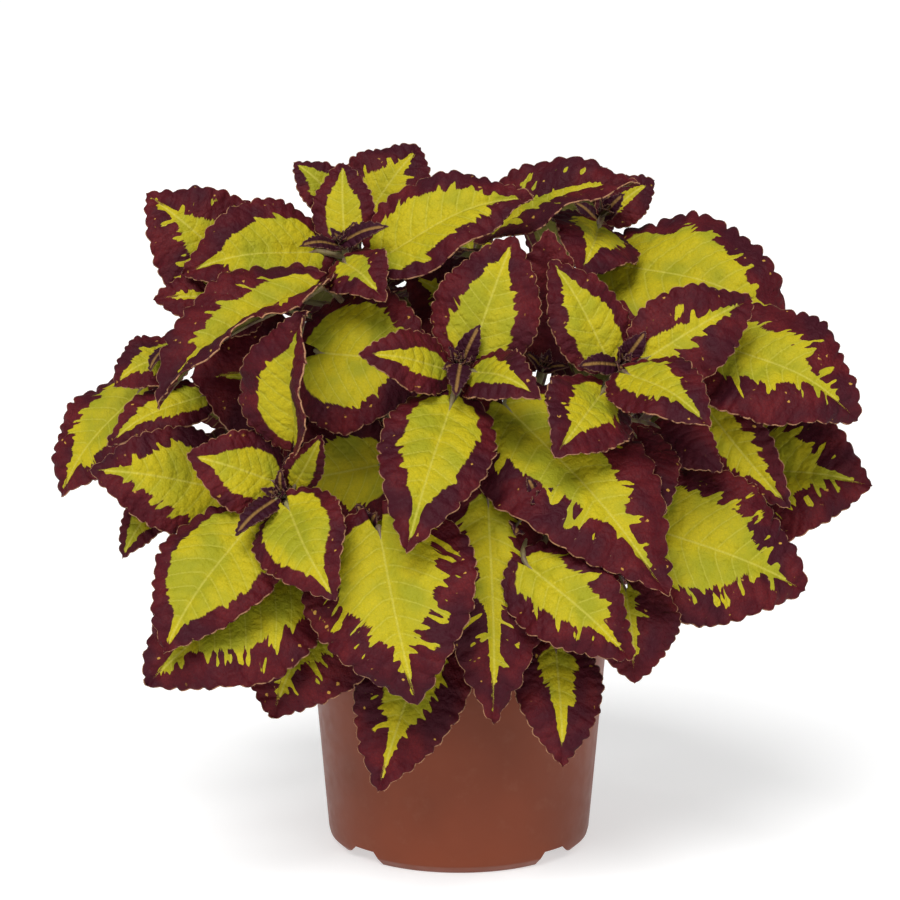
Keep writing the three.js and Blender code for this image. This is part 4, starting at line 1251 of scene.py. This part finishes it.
def make_compost(material):
    """The compost's crumbly top and its plain sides."""
    rng = np.random.default_rng(8)
    grit = rng.normal(0, SOIL_GRIT, (SOIL_RINGS + 1, SOIL_SEGMENTS))
    shape = bmesh.new()
    rings = []
    for ring in range(1, SOIL_RINGS + 1):
        radius = SOIL_RADIUS * (ring / SOIL_RINGS) ** 0.8
        row = []
        for step, angle in enumerate(turns(SOIL_SEGMENTS)):
            x, y = radius * math.cos(angle), radius * math.sin(angle)
            lumps = 0.9 * math.sin(0.31 * x + 1) * math.cos(0.27 * y) + 0.6 * math.sin(0.9 * x - 0.7 * y)
            z = SOIL_LEVEL - 1.2 + 0.6 * lumps + grit[ring, step]
            if ring == SOIL_RINGS:
                z = SOIL_LEVEL - 2.2
            row.append(shape.verts.new((x * MM, y * MM, min(z, SOIL_LEVEL) * MM)))
        rings.append(row)
    rings.append(ring_of(shape, POT_NECK_RADIUS - 4, SOIL_LEVEL - 6, SOIL_SEGMENTS))
    rings.append(ring_of(shape, POT_BASE_RADIUS - 4, SOIL_FLOOR, SOIL_SEGMENTS))
    centre = shape.verts.new((0, 0, (SOIL_LEVEL - 1) * MM))
    for step in range(SOIL_SEGMENTS):
        ahead = (step + 1) % SOIL_SEGMENTS
        shape.faces.new((centre, rings[0][step], rings[0][ahead]))
        for upper, lower in zip(rings, rings[1:]):
            shape.faces.new((upper[step], lower[step], lower[ahead], upper[ahead]))
    shape.faces.new(rings[-1])
    for _ in range(CRUMBS):
        radius, angle = SOIL_RADIUS * math.sqrt(rng.random()) * 0.96, rng.random() * 2 * math.pi
        size = rng.uniform(*CRUMB_SIZE) * MM
        made = bmesh.ops.create_icosphere(shape, subdivisions=1, radius=size)
        squash = Matrix.Diagonal((rng.uniform(0.7, 1.5), rng.uniform(0.7, 1.5), rng.uniform(0.5, 1.0), 1))
        spin = Matrix.Rotation(rng.random() * math.pi, 4, "Z") @ Matrix.Rotation(rng.random(), 4, "X")
        spot = Vector((radius * math.cos(angle), radius * math.sin(angle), SOIL_LEVEL - 0.9)) * MM
        bmesh.ops.transform(shape, matrix=Matrix.Translation(spot) @ spin @ squash, verts=made["verts"])
    compost = object_from("compost_fill", shape)
    compost.data.materials.append(material)
    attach(compost, "root")
    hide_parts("compost")
    return compost


# ---------------- stage

FLOOR_SIZE = 12
FLOOR_GREY = (0.6, 0.6, 0.6, 1.0)
FLOOR_GLOW = 0.56
WHITE = (1.0, 1.0, 1.0, 1.0)

# The sky fades as it rises: where the fade starts and ends, and how bright it is there.
SKY_FADE = (0.1, 0.4, 1.05, 0.22)
SUN_POWER = 3.0
SUN_SOFTNESS = 34
SUN_FROM = (-0.3, -1.0, 1.3)
FILL_PLACE = (0.9, -1.5, 0.7)
FILL_AIM = (0, 0, 0.17)
FILL_SIZE = 0.8
FILL_POWER = 4

LENS = 100
SENSOR = 36
CAMERA_PLACE = (-3.8, -1038, 326.5)
CAMERA_AIM = (-3.8, 0, 167.7)


def aimed(name, data, place, aim):
    """A new camera or light that looks from its place to its aim."""
    made = in_scene(name, data)
    made.location = place
    made.rotation_euler = (Vector(aim) - Vector(place)).to_track_quat("-Z", "Y").to_euler()
    return made


def make_floor():
    bpy.ops.mesh.primitive_plane_add(size=FLOOR_SIZE)
    floor = bpy.context.object
    floor.name = "floor"
    look = {"Emission_Color": WHITE, "Emission_Strength": FLOOR_GLOW}
    pale = Nodes("pale_floor").finish(FLOOR_GREY, Roughness=0.9, Specular_IOR_Level=0.0, **look)
    floor.data.materials.append(pale)


def make_light():
    """Soft studio light: a pale sky, a broad sun and a weak lamp."""
    world = bpy.data.worlds.new("studio")
    world.use_nodes = True
    bpy.context.scene.world = world
    tree = world.node_tree
    direction = tree.nodes.new("ShaderNodeTexCoord")
    parts = tree.nodes.new("ShaderNodeSeparateXYZ")
    fade = tree.nodes.new("ShaderNodeMapRange")
    fade.interpolation_type = "SMOOTHSTEP"
    for value, socket in zip(SKY_FADE, list(fade.inputs)[1:5]):
        socket.default_value = value
    tree.links.new(direction.outputs["Generated"], parts.inputs[0])
    tree.links.new(parts.outputs["Z"], fade.inputs[0])
    tree.links.new(fade.outputs[0], tree.nodes["Background"].inputs["Strength"])
    tree.nodes["Background"].inputs["Color"].default_value = WHITE

    sun = bpy.data.lights.new("key", "SUN")
    sun.energy = SUN_POWER
    sun.angle = math.radians(SUN_SOFTNESS)
    aimed("key", sun, SUN_FROM, (0, 0, 0))
    lamp = bpy.data.lights.new("fill", "AREA")
    lamp.shape = "DISK"
    lamp.size = FILL_SIZE
    lamp.energy = FILL_POWER
    aimed("fill", lamp, FILL_PLACE, FILL_AIM)
    bpy.context.scene.view_settings.view_transform = "Standard"


def make_camera():
    """The photographed view: from the front and a little above, through a long lens."""
    lens = bpy.data.cameras.new("camera")
    lens.lens = LENS
    lens.sensor_width = SENSOR
    camera = aimed("camera", lens, Vector(CAMERA_PLACE) * MM, Vector(CAMERA_AIM) * MM)
    bpy.context.scene.camera = camera


# ---------------- the whole plant

make_camera()
make_floor()
make_light()
make_pot(pot_material())
make_compost(compost_material())

leaf_materials = [leaf_upper_material(), leaf_under_material(), stem_material(), hair_material()]
settled = settle([leaf for index, shoot in enumerate(SHOOTS) for leaf in leaves_of(index, shoot)])
for index, shoot in enumerate(SHOOTS):
    make_shoot(index, shoot, [leaf for leaf in settled if leaf["shoot"] == index], leaf_materials)
